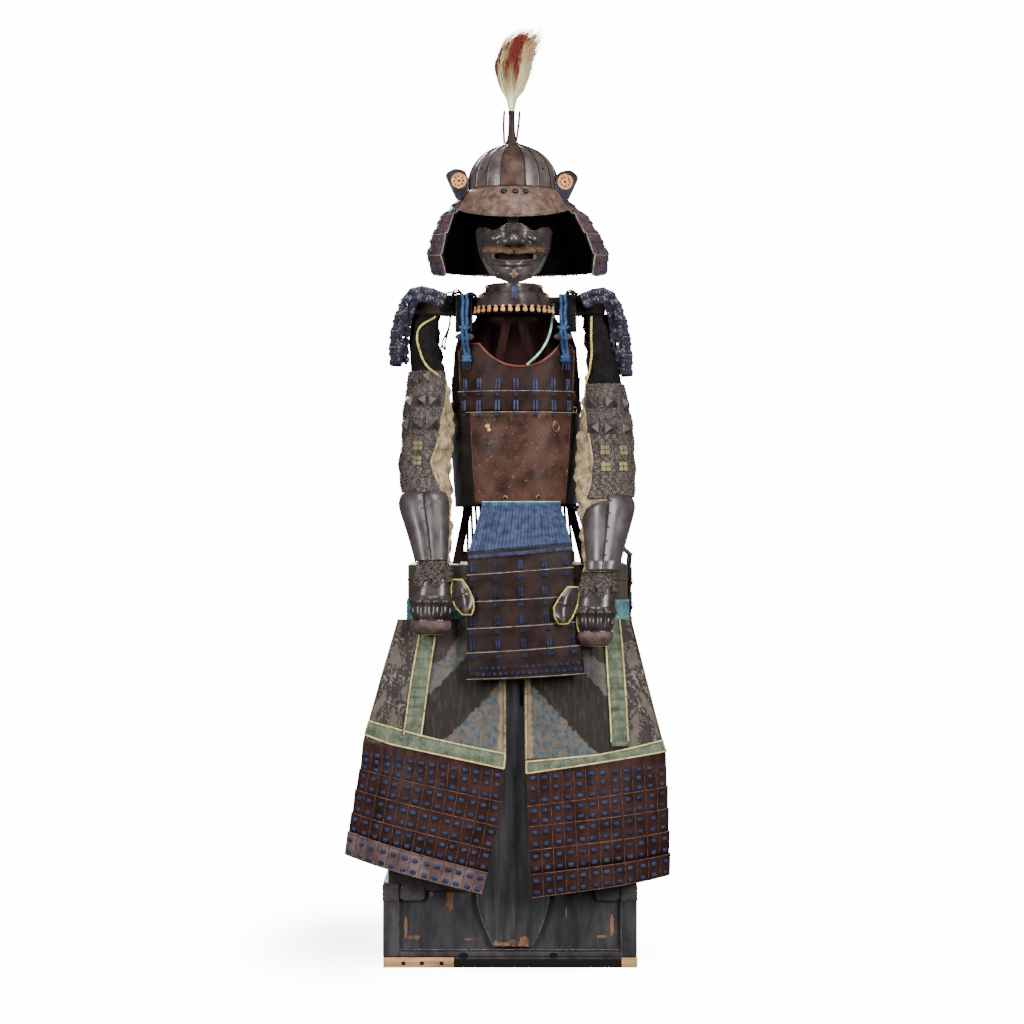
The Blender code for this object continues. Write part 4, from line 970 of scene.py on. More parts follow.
def make_plank():
    """The board before the chest: a paddle-shaped foot, a long taper and a narrow neck."""
    right = ((0.047, 0.0465), (0.063, 0.078), (0.0755, 0.110), (0.0835, 0.142), (0.0845, 0.175), (0.0800, 0.215))
    left = ((-0.036, 0.0465), (-0.050, 0.078), (-0.0625, 0.110), (-0.0705, 0.142), (-0.0715, 0.175),
            (-0.0670, 0.215))
    sides = []
    for points in (right, left):
        sides.append([(p.x, p.y) for p in smooth_route([Vector((x, z, 0)) for x, z in points], 24)])
    neck = [(0.036, 0.553), (0.033, 0.557), (0.022, 0.560), (0.022, 0.72)]
    outline = sides[0] + neck + [(-0.008, 0.72), (-0.008, 0.560), (-0.019, 0.557), (-0.022, 0.553)] + sides[1][::-1]
    back = CHEST_FRONT - GAP
    board("plank_board", outline, back - 0.006, back, "charcoal", "dark_wood", 0.0008, nodes=("front_plank",))
    for number, side in enumerate(sides):
        shift = 0.0006 if number else -0.0006
        route = [Vector((x + shift, back - 0.0062, z)) for x, z in side]
        cords("plank_edge_%d" % number, [route], 0.0007, "worn_edge", "dark_wood", 6)
    for number, spot in enumerate(PLANK_CHIPS):
        chip("plank_chip_%d" % number, *spot, back - 0.0061)
    # painted shade: a dark strip across the top of the plank's neck
    slab("plank_step_shade", (-0.0085, back - 0.0068, 0.7195), (0.0225, back, 0.7235), "painted_shade", "dark_wood", 0.0006)


def make_frame_details():
    """Braid rolled on the crossbar with its loose loops, and the thin black cord with two tassels."""
    slot = "blue_lacing"
    bundles = (("left", -0.154, -0.099, 13), ("right", 0.117, 0.168, 12))
    for name, low, high, turns in bundles:
        coil = []
        for i in range(turns * 12 + 1):
            turn = math.tau * i / 12
            x = low + (high - low) * i / (turns * 12)
            coil.append(Vector((x, -0.0158 * math.cos(turn), 1.4275 + 0.0225 * math.sin(turn))))
        cords("bar_braid_" + name, [coil], 0.0021, "black_cord", slot, 8)
        loops = []
        for loop in range(9):
            start = low - 0.012 + (high - low + 0.012) * random.random()
            wide = 0.020 + 0.022 * random.random()
            rise = 0.006 + 0.014 * random.random()
            front = -0.017 - 0.010 * random.random()
            points = [(start, front, 1.432), (start + wide * 0.25, front - 0.004, 1.438 + rise),
                      (start + wide * 0.75, front - 0.005, 1.440 + rise * 0.8), (start + wide, front, 1.434)]
            loops.append(smooth_route(points, 14))
        cords("bar_loops_" + name, loops, 0.0019, "black_cord", slot, 6)
    top = Vector((-0.1306, -0.0155, 1.404))
    foot = Vector((-0.1425, -0.0185, 1.343))
    routes = [smooth_route((top, (-0.1330, -0.0190, 1.380), foot), 10),
              smooth_route((top, (-0.1345, -0.0170, 1.376), foot + Vector((-0.006, 0.001, 0.004))), 10)]
    cords("black_tie", routes, 0.0021, "black_cord", slot, 6)
    tufts = []
    for end in (routes[0][-1], routes[1][-1]):
        for strand in range(26):
            turn = strand * 2.4
            reach = 0.0042 * math.sqrt((strand % 13) / 13)
            off = Vector((math.cos(turn) * reach, math.sin(turn) * reach * 0.6, -0.014))
            tufts.append([end, end + off * 0.4, end + off])
    cords("black_tassels", tufts, lambda share: 0.0010 * (1.0 - 0.5 * share), "black_cord", slot, 3)


# Helmet

BOWL_PROFILE = (
    # height and radius as shares of the bowl's own, with the small flare at the top
    (1.100, 0.082), (1.075, 0.088), (1.040, 0.105), (1.010, 0.135), (0.985, 0.180), (0.955, 0.260), (0.920, 0.350),
    (0.870, 0.460), (0.810, 0.565), (0.740, 0.665), (0.660, 0.752), (0.570, 0.828), (0.470, 0.892), (0.360, 0.942),
    (0.240, 0.976), (0.120, 0.996), (0.000, 1.006), (-0.060, 1.010), (-0.110, 1.012),
)
PLATES = 18
FRONT_PLATE = 31.0


def make_bowl():
    pitch = (360.0 - FRONT_PLATE) / (PLATES - 1)
    ribs = [-FRONT_PLATE / 2] + [FRONT_PLATE / 2 + i * pitch for i in range(PLATES - 1)]
    columns = []
    for number, rib in enumerate(ribs):
        step = FRONT_PLATE if number == 0 else pitch
        for part, rise in ((0.0, 0.0030), (0.035, 0.0026), (0.06, 0.0004), (0.3, 0.0008), (0.5, 0.0010),
                           (0.7, 0.0008), (0.93, 0.0002), (0.965, 0.0004)):
            columns.append((rib + step * part, rise))
    rows = []
    for height, radius in BOWL_PROFILE:
        ring = Ring(BOWL_BASE + BOWL_HEIGHT * height, HEAD_MIDDLE, -0.01, 0.0, 0.0)
        fade = min(1.0, max(radius - 0.1, 0.0) / 0.4)
        rows.append([on_ring(ring._replace(rx=BOWL_HALF_WIDTH * radius + rise * fade,
                                           ry=BOWL_HALF_DEPTH * radius + rise * fade), degrees)
                     for degrees, rise in columns])
    front = 8
    sheet_of("helmet_plates", rows, 0.002, "bowl", "russet_iron", ("helmet_bowl",), closed=True,
             skip=lambda r, c: c < front, sharp=50.0)
    sheet_of("helmet_front_plate", [row[:front + 1] for row in rows], 0.002, "bowl_front", "russet_iron", sharp=50.0)
    # painted shade: thin dark cords along the step of each rib
    lines = [[row[c] for row in rows[3:]] for c in range(8, len(columns), 8)]
    lines += [[row[0] for row in rows[5:]]]
    cords("helmet_rib_shade", lines, 0.0009, "painted_shade", "russet_iron", 6)
    band = []
    for height, radius in ((-0.105, 1.012), (-0.112, 1.030), (-0.130, 1.034), (-0.170, 1.034), (-0.184, 1.022)):
        ring = Ring(BOWL_BASE + BOWL_HEIGHT * height, HEAD_MIDDLE, -0.01, BOWL_HALF_WIDTH * radius,
                    BOWL_HALF_DEPTH * radius)
        band.append([on_ring(ring, d) for d in spread(0.0, 357.0, 119)])
    sheet_of("helmet_band", band, 0.0018, "bowl", "russet_iron", closed=True)
    pins = Spots()
    share = 0.965
    for degrees, z in ((-46.0, 1.7190), (43.0, 1.7180)):
        ring = Ring(z, HEAD_MIDDLE, -0.01, BOWL_HALF_WIDTH * share, BOWL_HALF_DEPTH * share)
        turn = math.radians(degrees)
        pins.add(level_axes(on_ring(ring, degrees), Vector((math.sin(turn), -math.cos(turn), 0.0))),
                 (0.0055, 0.0055, 0.007))
    pins.make("helmet_pins", "ball", "black", "russet_iron", 12)


def make_brim():
    reach = 64.0
    band = 1.022
    clear = 0.0023

    def brim(degrees, share, out=0.0):
        turn = math.cos(math.radians(degrees))
        inner = on_ring(Ring(1.676, HEAD_MIDDLE, -0.01, BOWL_HALF_WIDTH * band + clear,
                             BOWL_HALF_DEPTH * band + clear), degrees)
        outer = on_ring(Ring(1.647 - 0.041 * turn, HEAD_MIDDLE, -0.01, 0.131, 0.160), degrees)
        lift = 0.006 * math.sin(math.pi * share) + out
        return inner.lerp(outer, share) + Vector((0, -lift, lift))
    across = spread(-reach, reach, 60)
    rows = [[brim(d, share) for d in across] for share in spread(0.0, 1.0, 12)]
    sheet_of("helmet_brim_plate", rows, 0.0022, "brim", "russet_iron", ("helmet_brim",))
    edge = [brim(d, 1.0) for d in across]
    cords("brim_edge", [edge], 0.0015, "brim", "russet_iron", 8)
    rivets = Spots((level_axes(brim(degrees, 0.27, 0.0006), Vector((0.0, -0.80, 0.60))), (0.0135, 0.0135, 0.0100))
                   for degrees in (-10.5, 2.6, 14.4))
    rivets.make("brim_rivets", "ball", "black", "russet_iron", 18)


NECK_LINES = (
    Ring(1.6735, HEAD_MIDDLE, -0.010, 0.1018, 0.1172),
    Ring(1.658, 0.005, -0.010, 0.118, 0.132),
    Ring(1.622, 0.009, -0.010, 0.160, 0.158),
    Ring(1.580, 0.013, -0.010, 0.182, 0.174),
    Ring(1.535, 0.017, -0.010, 0.198, 0.186),
    Ring(1.488, 0.020, -0.010, 0.192, 0.188),
)


def neck_point(u, v):
    """The neck guard, its front ends bent inwards and its foot a little higher behind them."""
    point = on_ring(between(NECK_LINES, v), u)
    side = max(min(u - 72.0, 288.0 - u), 0.0)
    bend = max(0.0, 1.0 - side / 24.0) ** 2 * min(v / 1.5, 1.0)
    rise = min(side / 30.0, 1.0)
    point.x -= (1.0 if u < 180.0 else -1.0) * 0.024 * bend
    point.y -= 0.006 * bend
    point.z += 0.020 * rise * rise * (3.0 - 2.0 * rise) * (v / 5.0) ** 3
    return point


def make_neck_guard():
    lames = 5
    skin = surface(neck_point, 1.0, 0.05)
    rise = lame_rise(0.0035, 0.0)
    across = spread(72.0, 288.0, 108)
    relief("neck_guard_lames", skin, across, lame_places(lames), "neck_red", "black_lacquer", rise,
           nodes=("neck_guard",))
    # painted shade: a near-black sheet inside the lames for the guard's shaded inside
    inside = [[skin(u, v, -IRON - 0.0006) for u in across[::3]] for v in spread(0.1, lames - 0.06, 15)]
    sheet_of("neck_guard_inner_shade", inside, 0.0008, "painted_shade", "black_lacquer")
    # painted highlight: light cords along the lames' top edges, foot and ends
    edges = [along(skin, [(u, lame + 0.06) for u in across], rise(0.0, lame + 0.06) + 0.0002)
             for lame in range(1, lames)]
    edges.append(along(skin, [(u, lames - 0.01) for u in across], 0.0006))
    cords("neck_guard_edges", edges, 0.0010, "lame_edge_highlight", "black_lacquer", 6)
    ends = [[skin(u, v, rise(u, v) + 0.0002) for v in lame_places(lames)] for u in (72.0, 288.0)]
    cords("neck_guard_ends", ends, 0.0014, "lame_edge_highlight", "black_lacquer", 6)
    laces = Spots()
    for lame in range(lames):
        for number in range(24):
            for pair in (-1.1, 1.1):
                degrees = 75.5 + 209.0 * number / 23 + pair
                laces.add(axes_on(skin, degrees, lame + 0.90, 0.0014), (0.0044, 0.016, 0.0040))
                if lame < lames - 1:
                    laces.add(axes_on(skin, degrees, lame + 1.36, 0.0028), (0.0044, 0.0100, 0.0034))
    laces.make("neck_guard_lacing", "pad", "violet_cord", "blue_lacing", 1)
    knots = Spots.on(skin, [(74.0 + 212.0 * number / 39, v, 0.0016, (0.0056, 0.0056, 0.0036))
                            for number in range(40) for v in (4.62, 4.80)])
    knots.make("neck_guard_foot_knots", "pad", "violet_cord", "blue_lacing", 1)


def make_turn_backs():
    left = ((-0.141, 1.709), (-0.115, 1.6535), (-0.097, 1.662), (-0.090, 1.690), (-0.098, 1.716), (-0.120, 1.721))
    right = ((0.105, 1.712), (0.098, 1.690), (0.103, 1.660), (0.124, 1.6495), (0.149, 1.703), (0.131, 1.718))
    disc = 0.0172
    dots = Spots()
    for side, corners, centre in (("left", left, (-0.1112, 1.6950)), ("right", right, (0.1200, 1.6925))):
        shape = rounded(corners, 0.009)
        board("turned_plate_" + side, shape, -0.0560, -0.0532, "blue_black", "black_lacquer", 0.0007,
              nodes=("turn_back_" + side,))
        rim = [Vector((x, -0.0560, z)) for x, z in shape]
        cords("turned_rim_" + side, [rim], 0.0019, "blue_black", "black_lacquer", 8, closed=True)
        rows = []
        for radius, lift in ((disc, 0.0), (disc * 0.93, 0.0012), (disc * 0.86, 0.0004), (disc * 0.4, 0.0006),
                             (0.0004, 0.0009)):
            rows.append([Vector((centre[0] + radius * math.sin(t), -0.0564 - lift, centre[1] + radius * math.cos(t)))
                         for t in round_turns(36)])
        sheet_of("gilt_disc_" + side, rows[::-1], 0.0006, "gilt", "black_lacquer", closed=True)
        for ring, count, size in ((0.0, 1, 0.0072), (0.58, 8, 0.0046)):
            for i in range(count):
                t = math.tau * i / count
                spot = (centre[0] + disc * ring * math.sin(t), -0.0572, centre[1] + disc * ring * math.cos(t))
                dots.add(level_axes(spot), (size, size, 0.0026))
    dots.make("gilt_dots", "ball", "rim_dark", "black_lacquer", 10)


def make_crest():
    rows = []
    for z, radius in ((1.853, 0.0058), (1.8535, 0.0070), (1.8480, 0.0074), (1.838, 0.0068), (1.815, 0.0074),
                      (1.800, 0.0085), (1.790, 0.0110), (1.7815, 0.0145)):
        ring = Ring(z, HEAD_MIDDLE - 0.003, -0.01, radius, radius)
        rows.append([on_ring(ring, d) for d in spread(0, 348, 29)])
    sheet_of("crest_stem", rows, 0.0012, "skirt", "russet_iron", ("crest_tube",), closed=True)
    rods = [smooth_route(((-0.0125, -0.012, 1.782), (-0.0140, -0.012, 1.820), (-0.0125, -0.012, 1.8535)), 8),
            smooth_route(((0.0130, -0.012, 1.782), (0.0185, -0.012, 1.820), (0.0212, -0.012, 1.8535)), 8)]
    cords("crest_rods", rods, 0.0025, "skirt", "russet_iron", 8)


CREAM_HAIR = tint(232, 214, 178)


def make_plume():
    """Locks of hair rising from one root, fanned and leaning to the right, cream with red in the middle."""
    root = Vector((HEAD_MIDDLE - 0.003, -0.01, 1.8535))
    groups = {"outer": [], "middle": []}
    for number in range(1700):
        turn = random.random() * math.tau
        reach = math.sqrt(random.random())
        fan = Vector((math.cos(turn) * reach, math.sin(turn) * reach, 0.0))
        clump = math.sin(turn * 3.0) * math.sin(turn * 7.0 + 1.0)
        tall = 0.145 + 0.030 * clump * reach + 0.034 * random.random() - 0.020 * reach
        lean = 0.012 + 0.010 * clump + 0.012 * random.random()
        curl = 0.005 * math.sin(number * 1.7)
        route = [
            root + fan * 0.0052,
            root + Vector((fan.x * 0.011, fan.y * 0.011, 0.026)),
            root + Vector((fan.x * 0.028 + 0.001, fan.y * 0.024, tall * 0.42)),
            root + Vector((fan.x * 0.040 + 0.003 + curl * 0.4, fan.y * 0.032, tall * 0.68)),
            root + Vector((fan.x * 0.036 + lean * 0.7 + curl, fan.y * 0.032, tall * 0.90)),
            root + Vector((fan.x * 0.030 + lean * 1.5 + curl * 1.6, fan.y * 0.030, tall)),
        ]
        red = fan.y < 0.25 and fan.x < 0.55 and math.sin(turn * 5.0 + reach * 4.0) > -0.45
        groups["middle" if red else "outer"].append(route)
    to_tan = shades(CREAM_HAIR, tint(176, 140, 98))
    to_red = shades(CREAM_HAIR, tint(138, 34, 30))

    def thick(share):
        return 0.00115 * (1.0 - 0.75 * share)
    cords("plume_outer_hair", groups["outer"], thick, "plume", "horse_hair", 3, nodes=("plume",),
          colours=lambda share: to_tan(share ** 2))
    cords("plume_red_hair", groups["middle"], thick, "plume", "horse_hair", 3,
          colours=lambda share: to_red(unit((share - 0.22) / 0.3)))


# Face and throat

def mask_point(u, v):
    """A half mask: u is degrees round from the front, v from 0 at the bridge to 1 at the chin."""
    turn = math.radians(u)
    narrow = 1.0 - 0.36 * max(v, 0.0) ** 2.2
    x = 0.083 * narrow * math.sin(turn)
    y = -0.118 + 0.100 * (1.0 - math.cos(turn)) + 0.022 * max(0.0, v - 0.6) - 0.01 * v
    z = 1.596 - 0.128 * v * (1.0 - 0.22 * math.sin(min(abs(turn), 1.5)) ** 2)
    z -= 0.012 * (1.0 - v) * math.sin(turn) ** 2
    nose = bump_at(x, 0.0, 0.014) * bump_at(v, 0.24, 0.17)
    wings = bump_at(abs(x), 0.017, 0.009) * bump_at(v, 0.33, 0.07)
    cheek = bump_at(abs(x), 0.046, 0.017) * bump_at(v, 0.22, 0.16)
    lip = bump_at(x, 0.0, 0.036) * bump_at(v, 0.70, 0.045)
    chin = bump_at(x, 0.0, 0.026) * bump_at(v, 0.88, 0.09)
    y -= 0.030 * nose + 0.010 * wings + 0.013 * cheek + 0.007 * lip + 0.012 * chin
    return Vector((HEAD_MIDDLE + 0.002 + x, y, z))


MOUTH_HEIGHT = 0.575


def mask_rise(u, v):
    """Folds of a fierce half mask: rings beside the eyes, a bulbous nose, ridged lips and chin."""
    side = abs(u)
    made = 0.0
    for number in range(4):
        middle = 0.03 + 0.075 * number + 0.0035 * (side - 52.0)
        made += 0.0044 * bump_at(v, middle, 0.022) * bump_at(side, 54.0, 16.0)
    made += 0.0110 * bump_at(side, 0.0, 8.0) * bump_at(v, 0.29, 0.085)
    made += 0.0085 * bump_at(side, 14.0, 5.0) * bump_at(v, 0.315, 0.06)
    made += 0.0060 * bump_at(side, 33.0, 10.0) * bump_at(v, 0.26, 0.07)
    for number in range(3):
        made += 0.0020 * bump_at(v, 0.03 + 0.055 * number, 0.014) * bump_at(side, 0.0, 11.0)
    made -= 0.0040 * bump_at(v, 0.20 + 0.008 * (side - 14.0), 0.022) * bump_at(side, 22.0, 8.0)
    mouth = ((side / 34.0) ** 4 + (abs(v - MOUTH_HEIGHT) / 0.08) ** 4) ** 0.25
    made += 0.0042 * bump_at(mouth, 1.12, 0.15)
    made -= 0.0030 * bump_at(v, 0.755, 0.028) * bump_at(side, 0.0, 26.0)
    made += 0.0040 * bump_at(v, 0.86, 0.06) * bump_at(side, 0.0, 17.0)
    made += 0.0022 * bump_at(side, 50.0 - 18.0 * max(v - 0.5, 0.0), 3.5) * min(max(v - 0.35, 0.0) * 5.0, 1.0)
    return made


def mask_top(u):
    """Where the mask starts: dipped under the eyes, highest at the outer corners."""
    side = abs(u)
    return 0.115 * bump_at(side, 30.0, 12.0) - 0.055 * bump_at(side, 66.0, 13.0)


def make_face_guard():
    skin = surface(mask_point, 2.0, 0.03)
    across = spread(-92.0, 92.0, 116)
    shares = spread(0.0, 1.0, 84)

    def down(u, share):
        return mask_top(u) + (1.0 - mask_top(u)) * share
    rows = [[skin(u, down(u, share), mask_rise(u, down(u, share))) for u in across] for share in shares]

    def mouth(r, c):
        u = (across[c] + across[c + 1]) / 2
        v = down(u, (shares[r] + shares[r + 1]) / 2)
        return (u / 33.0) ** 4 + ((v - MOUTH_HEIGHT) / 0.078) ** 4 < 1.0
    sheet_of("mask_plate", rows, 0.0016, "mask", "russet_iron", ("face_guard",), skip=mouth, sharp=60.0)
    lips = []
    for t in round_turns(60):
        c, s = math.cos(t), math.sin(t)
        lips.append(skin(33.5 * math.copysign(abs(c) ** 0.5, c),
                         MOUTH_HEIGHT + 0.079 * math.copysign(abs(s) ** 0.5, s), 0.0036))
    cords("mask_lips", [lips], 0.0021, "mask_lip", "russet_iron", 10, closed=True)
    back = surface(lambda u, v: mask_point(u, v) + Vector((0, 0.012, 0)), 2.0, 0.03)
    relief("mouth_shade", back, spread(-40.0, 40.0, 20), spread(0.44, 0.70, 10), "painted_shade", "russet_iron",
           thickness=0.0008)
    # painted shade: dark pads stand for the nostril holes
    nostrils = Spots.on(skin, [(u, 0.362, 0.0050, (0.0130, 0.0100, 0.0040)) for u in (-8.5, 8.5)])
    nostrils.make("mask_nostril_shade", "ball", "painted_shade", "russet_iron", 14)
    edge = [skin(u, mask_top(u), 0.0006) for u in across]
    cords("mask_top_edge", [edge], 0.0013, "mask", "russet_iron", 8)
    hairs = []
    strand = (0.0, 0.3, 0.65, 1.0)
    for hair in range(760):
        start = -50.0 + 100.0 * random.random()
        sign = -1.0 if start < 0.0 else 1.0
        top = 0.385 + 0.035 * random.random() + 0.020 * bump_at(start, 0.0, 9.0)
        length = 0.060 + 0.045 * random.random()
        drift = sign * (1.0 + 6.0 * random.random())
        hairs.append([skin(start + drift * t, top + length * t,
                           mask_rise(start, top) + 0.0004 + 0.005 * math.sin(2.2 * t)) for t in strand])
    for hair in range(130):
        start = -3.6 + 7.2 * random.random()
        length = 0.06 + 0.06 * random.random()
        hairs.append([skin(start * (1 - 0.3 * t), 0.79 + length * t, 0.0016 + 0.007 * math.sin(1.8 * t))
                      for t in strand])
    cords("mask_hair", hairs, lambda share: 0.0006 * (1.0 - 0.7 * share), "tan_hair", "horse_hair", 3,
          colours=shades(tint(74, 58, 44), tint(150, 126, 94)))
    studs = Spots.on(skin, [(sign * u, v, 0.002, (0.0056, 0.0056, 0.0050)) for sign in (-1, 1)
                            for u, v in ((58.0, 0.66), (66.0, 0.42), (34.0, 0.90))])
    studs.make("mask_studs", "ball", "mask", "russet_iron", 12)
    chin = ((60.0, 0.60), (56.0, 0.72), (47.0, 0.86), (38.0, 0.97))
    straps = [smooth_route([skin(sign * u, v, 0.0040) for u, v in chin], 16) for sign in (-1, 1)]
    cords("mask_chin_straps", straps, 0.0020, "patina", "blue_lacing", 8)
    behind = 0.0155  # the tie passes the head post there
    route = smooth_route(((-0.0650, -0.0235, 1.548), (-0.045, 0.002, 1.548), (HEAD_MIDDLE - 0.016, behind, 1.548),
                          (HEAD_MIDDLE + 0.016, behind, 1.548), (0.062, 0.002, 1.548), (0.0822, -0.0235, 1.548)), 24)
    cords("face_cord_braid", [route], 0.003, "blue_cord", "blue_lacing", 10, nodes=("face_cord",))


THROAT_LINES = (
    Ring(1.4665, HEAD_MIDDLE + 0.002, 0.0, 0.060, 0.1206),
    Ring(1.4500, HEAD_MIDDLE + 0.002, 0.0, 0.074, 0.128),
    Ring(1.4180, HEAD_MIDDLE + 0.002, 0.0, 0.092, 0.140),
    Ring(1.3995, HEAD_MIDDLE + 0.002, 0.0, 0.090, 0.137),
)


def make_throat_guard():
    skin = surface(lambda u, v: on_ring(between(THROAT_LINES, v), u), 1.0, 0.05)
    rise = lame_rise(0.003)
    across = spread(-68.0, 68.0, 54)
    relief("throat_lames", skin, across, lame_places(2), "hand", "black_lacquer", rise, nodes=("throat_guard",))
    edges = [along(skin, [(u, v) for u in across], rise(0, v) + 0.0003) for v in (0.04, 1.06)]
    cords("throat_edges", edges, 0.0009, "blue_black", "black_lacquer", 6)
    knots = Spots()
    places = 14
    for row, (drop, lift, size) in enumerate(((0.0018, 0.0022, (0.0078, 0.0052, 0.0046)),
                                              (0.0088, 0.0022, (0.0098, 0.0098, 0.0062)))):
        for i in range(places):
            u = -63.0 + 126.0 * i / (places - 1)
            point, side, up, outward = axes_on(skin, u, 1.999)
            lean = side if row else (side + up * (0.6 if i % 2 else -0.6)).normalized()
            spot = point - Vector((0, 0, drop))
            knots.add((spot, lean, outward.cross(lean), outward), size, lift)
    for u, v in ((-62.0, 0.30), (62.0, 0.30), (-64.0, 1.25), (64.0, 1.25)):
        knots.add(axes_on(skin, u, v, 0.0040), (0.0090, 0.0090, 0.0060))
    knots.make("throat_ivory_knots", "pad", "ivory_cord", "horse_hair", 2, nodes=("throat_knots",))
    laces = Spots.on(skin, [(u, v, out, (0.0052, tall, 0.0040)) for u in (-2.2, 2.2)
                            for v, out, tall in ((0.86, 0.0022, 0.018), (1.40, 0.0032, 0.013))])
    laces.make("throat_lacing", "pad", "grey_cord", "blue_lacing", 2)
    ties = Spots.on(skin, [(u, 0.72, 0.0024, (0.0100, 0.0080, 0.0050)) for u in (-52.0, -30.0, 30.0, 52.0)])
    ties.make("throat_ties", "pad", "black_cord", "blue_lacing", 2)
    across = [-76.0, -72.0] + spread(-68.0, 68.0, 54) + [72.0, 76.0]
    cloth = relief("collar", skin, across, spread(0.08, 2.92, 14), "black_cloth", "thigh_cloth",
                   lambda u, v: 0.0005 * math.sin(u * 0.4), out=-IRON - 0.0012, thickness=CLOTH,
                   nodes=("collar_cloth",))


# Cuirass

TORSO_RINGS = (
    Ring(1.400, TORSO_MIDDLE, 0.0, 0.124, 0.104),
    Ring(1.338, TORSO_MIDDLE, 0.0, 0.142, 0.114),
    Ring(1.235, TORSO_MIDDLE, 0.0, 0.142, 0.120),
    Ring(1.189, TORSO_MIDDLE, 0.0, 0.143, 0.120),
    Ring(1.080, TORSO_MIDDLE, 0.0, 0.141, 0.118),
    Ring(0.980, TORSO_MIDDLE, 0.0, 0.134, 0.112),
)
torso = surface(lambda u, v: on_ring(at_height(TORSO_RINGS, TORSO_TOP - v), u), 1.0, 0.004)


def on_torso(degrees, z, out=0.0):
    return torso(degrees, TORSO_TOP - z, out)


def neck_curve(degrees):
    """Height of the breastplate's top edge: level at the corners, dipped in the middle."""
    share = min(abs(degrees - 4.0) / 38.0, 1.0)
    corner = max(abs(degrees - 1.0) - 50.0, 0.0) / 9.0
    return BREAST_TOP - 0.05 * (1.0 - share ** 2.2) - 0.011 * corner ** 3


def back_curve(degrees):
    """Height of the back plate's top edge: level at the shoulders, lower at the arms."""
    off = abs(degrees - 180.0)
    if off < 66.0:
        rise = unit((52.0 - off) / 14.0)
        return 1.390 + 0.029 * rise * rise * (3.0 - 2.0 * rise)
    return 1.390 - 0.12 * min((off - 66.0) / 12.0, 1.0)


LACE_DEGREES = (-50.8, -33.6, -15.9, 0.0, 16.7, 34.1, 52.0)


def torso_panel(name, columns, tops, bottom, count, look, slot, rise, nodes=(), out=0.0, taper=0.0, middle=0.0):
    """A plate over the torso. taper narrows it towards its foot, as a share of its half width."""
    rows = []
    for share in spread(0.0, 1.0, count):
        row = []
        for u, top in zip(columns, tops):
            z = top + (bottom - top) * share
            turned_in = middle + (u - middle) * (1.0 - taper * share)
            row.append(on_torso(turned_in, z, out + rise(u, z, share)) + Vector((0, 0, max(z - TORSO_TOP, 0.0))))
        rows.append(row)
    return sheet_of(name, rows, IRON, look, slot, nodes)


def dent(u, z, share):
    """The uneven surface of old beaten plates."""
    return 0.0006 * math.sin(u * 0.11 + z * 37.0) + 0.0004 * math.sin(u * 0.31 - z * 90.0)


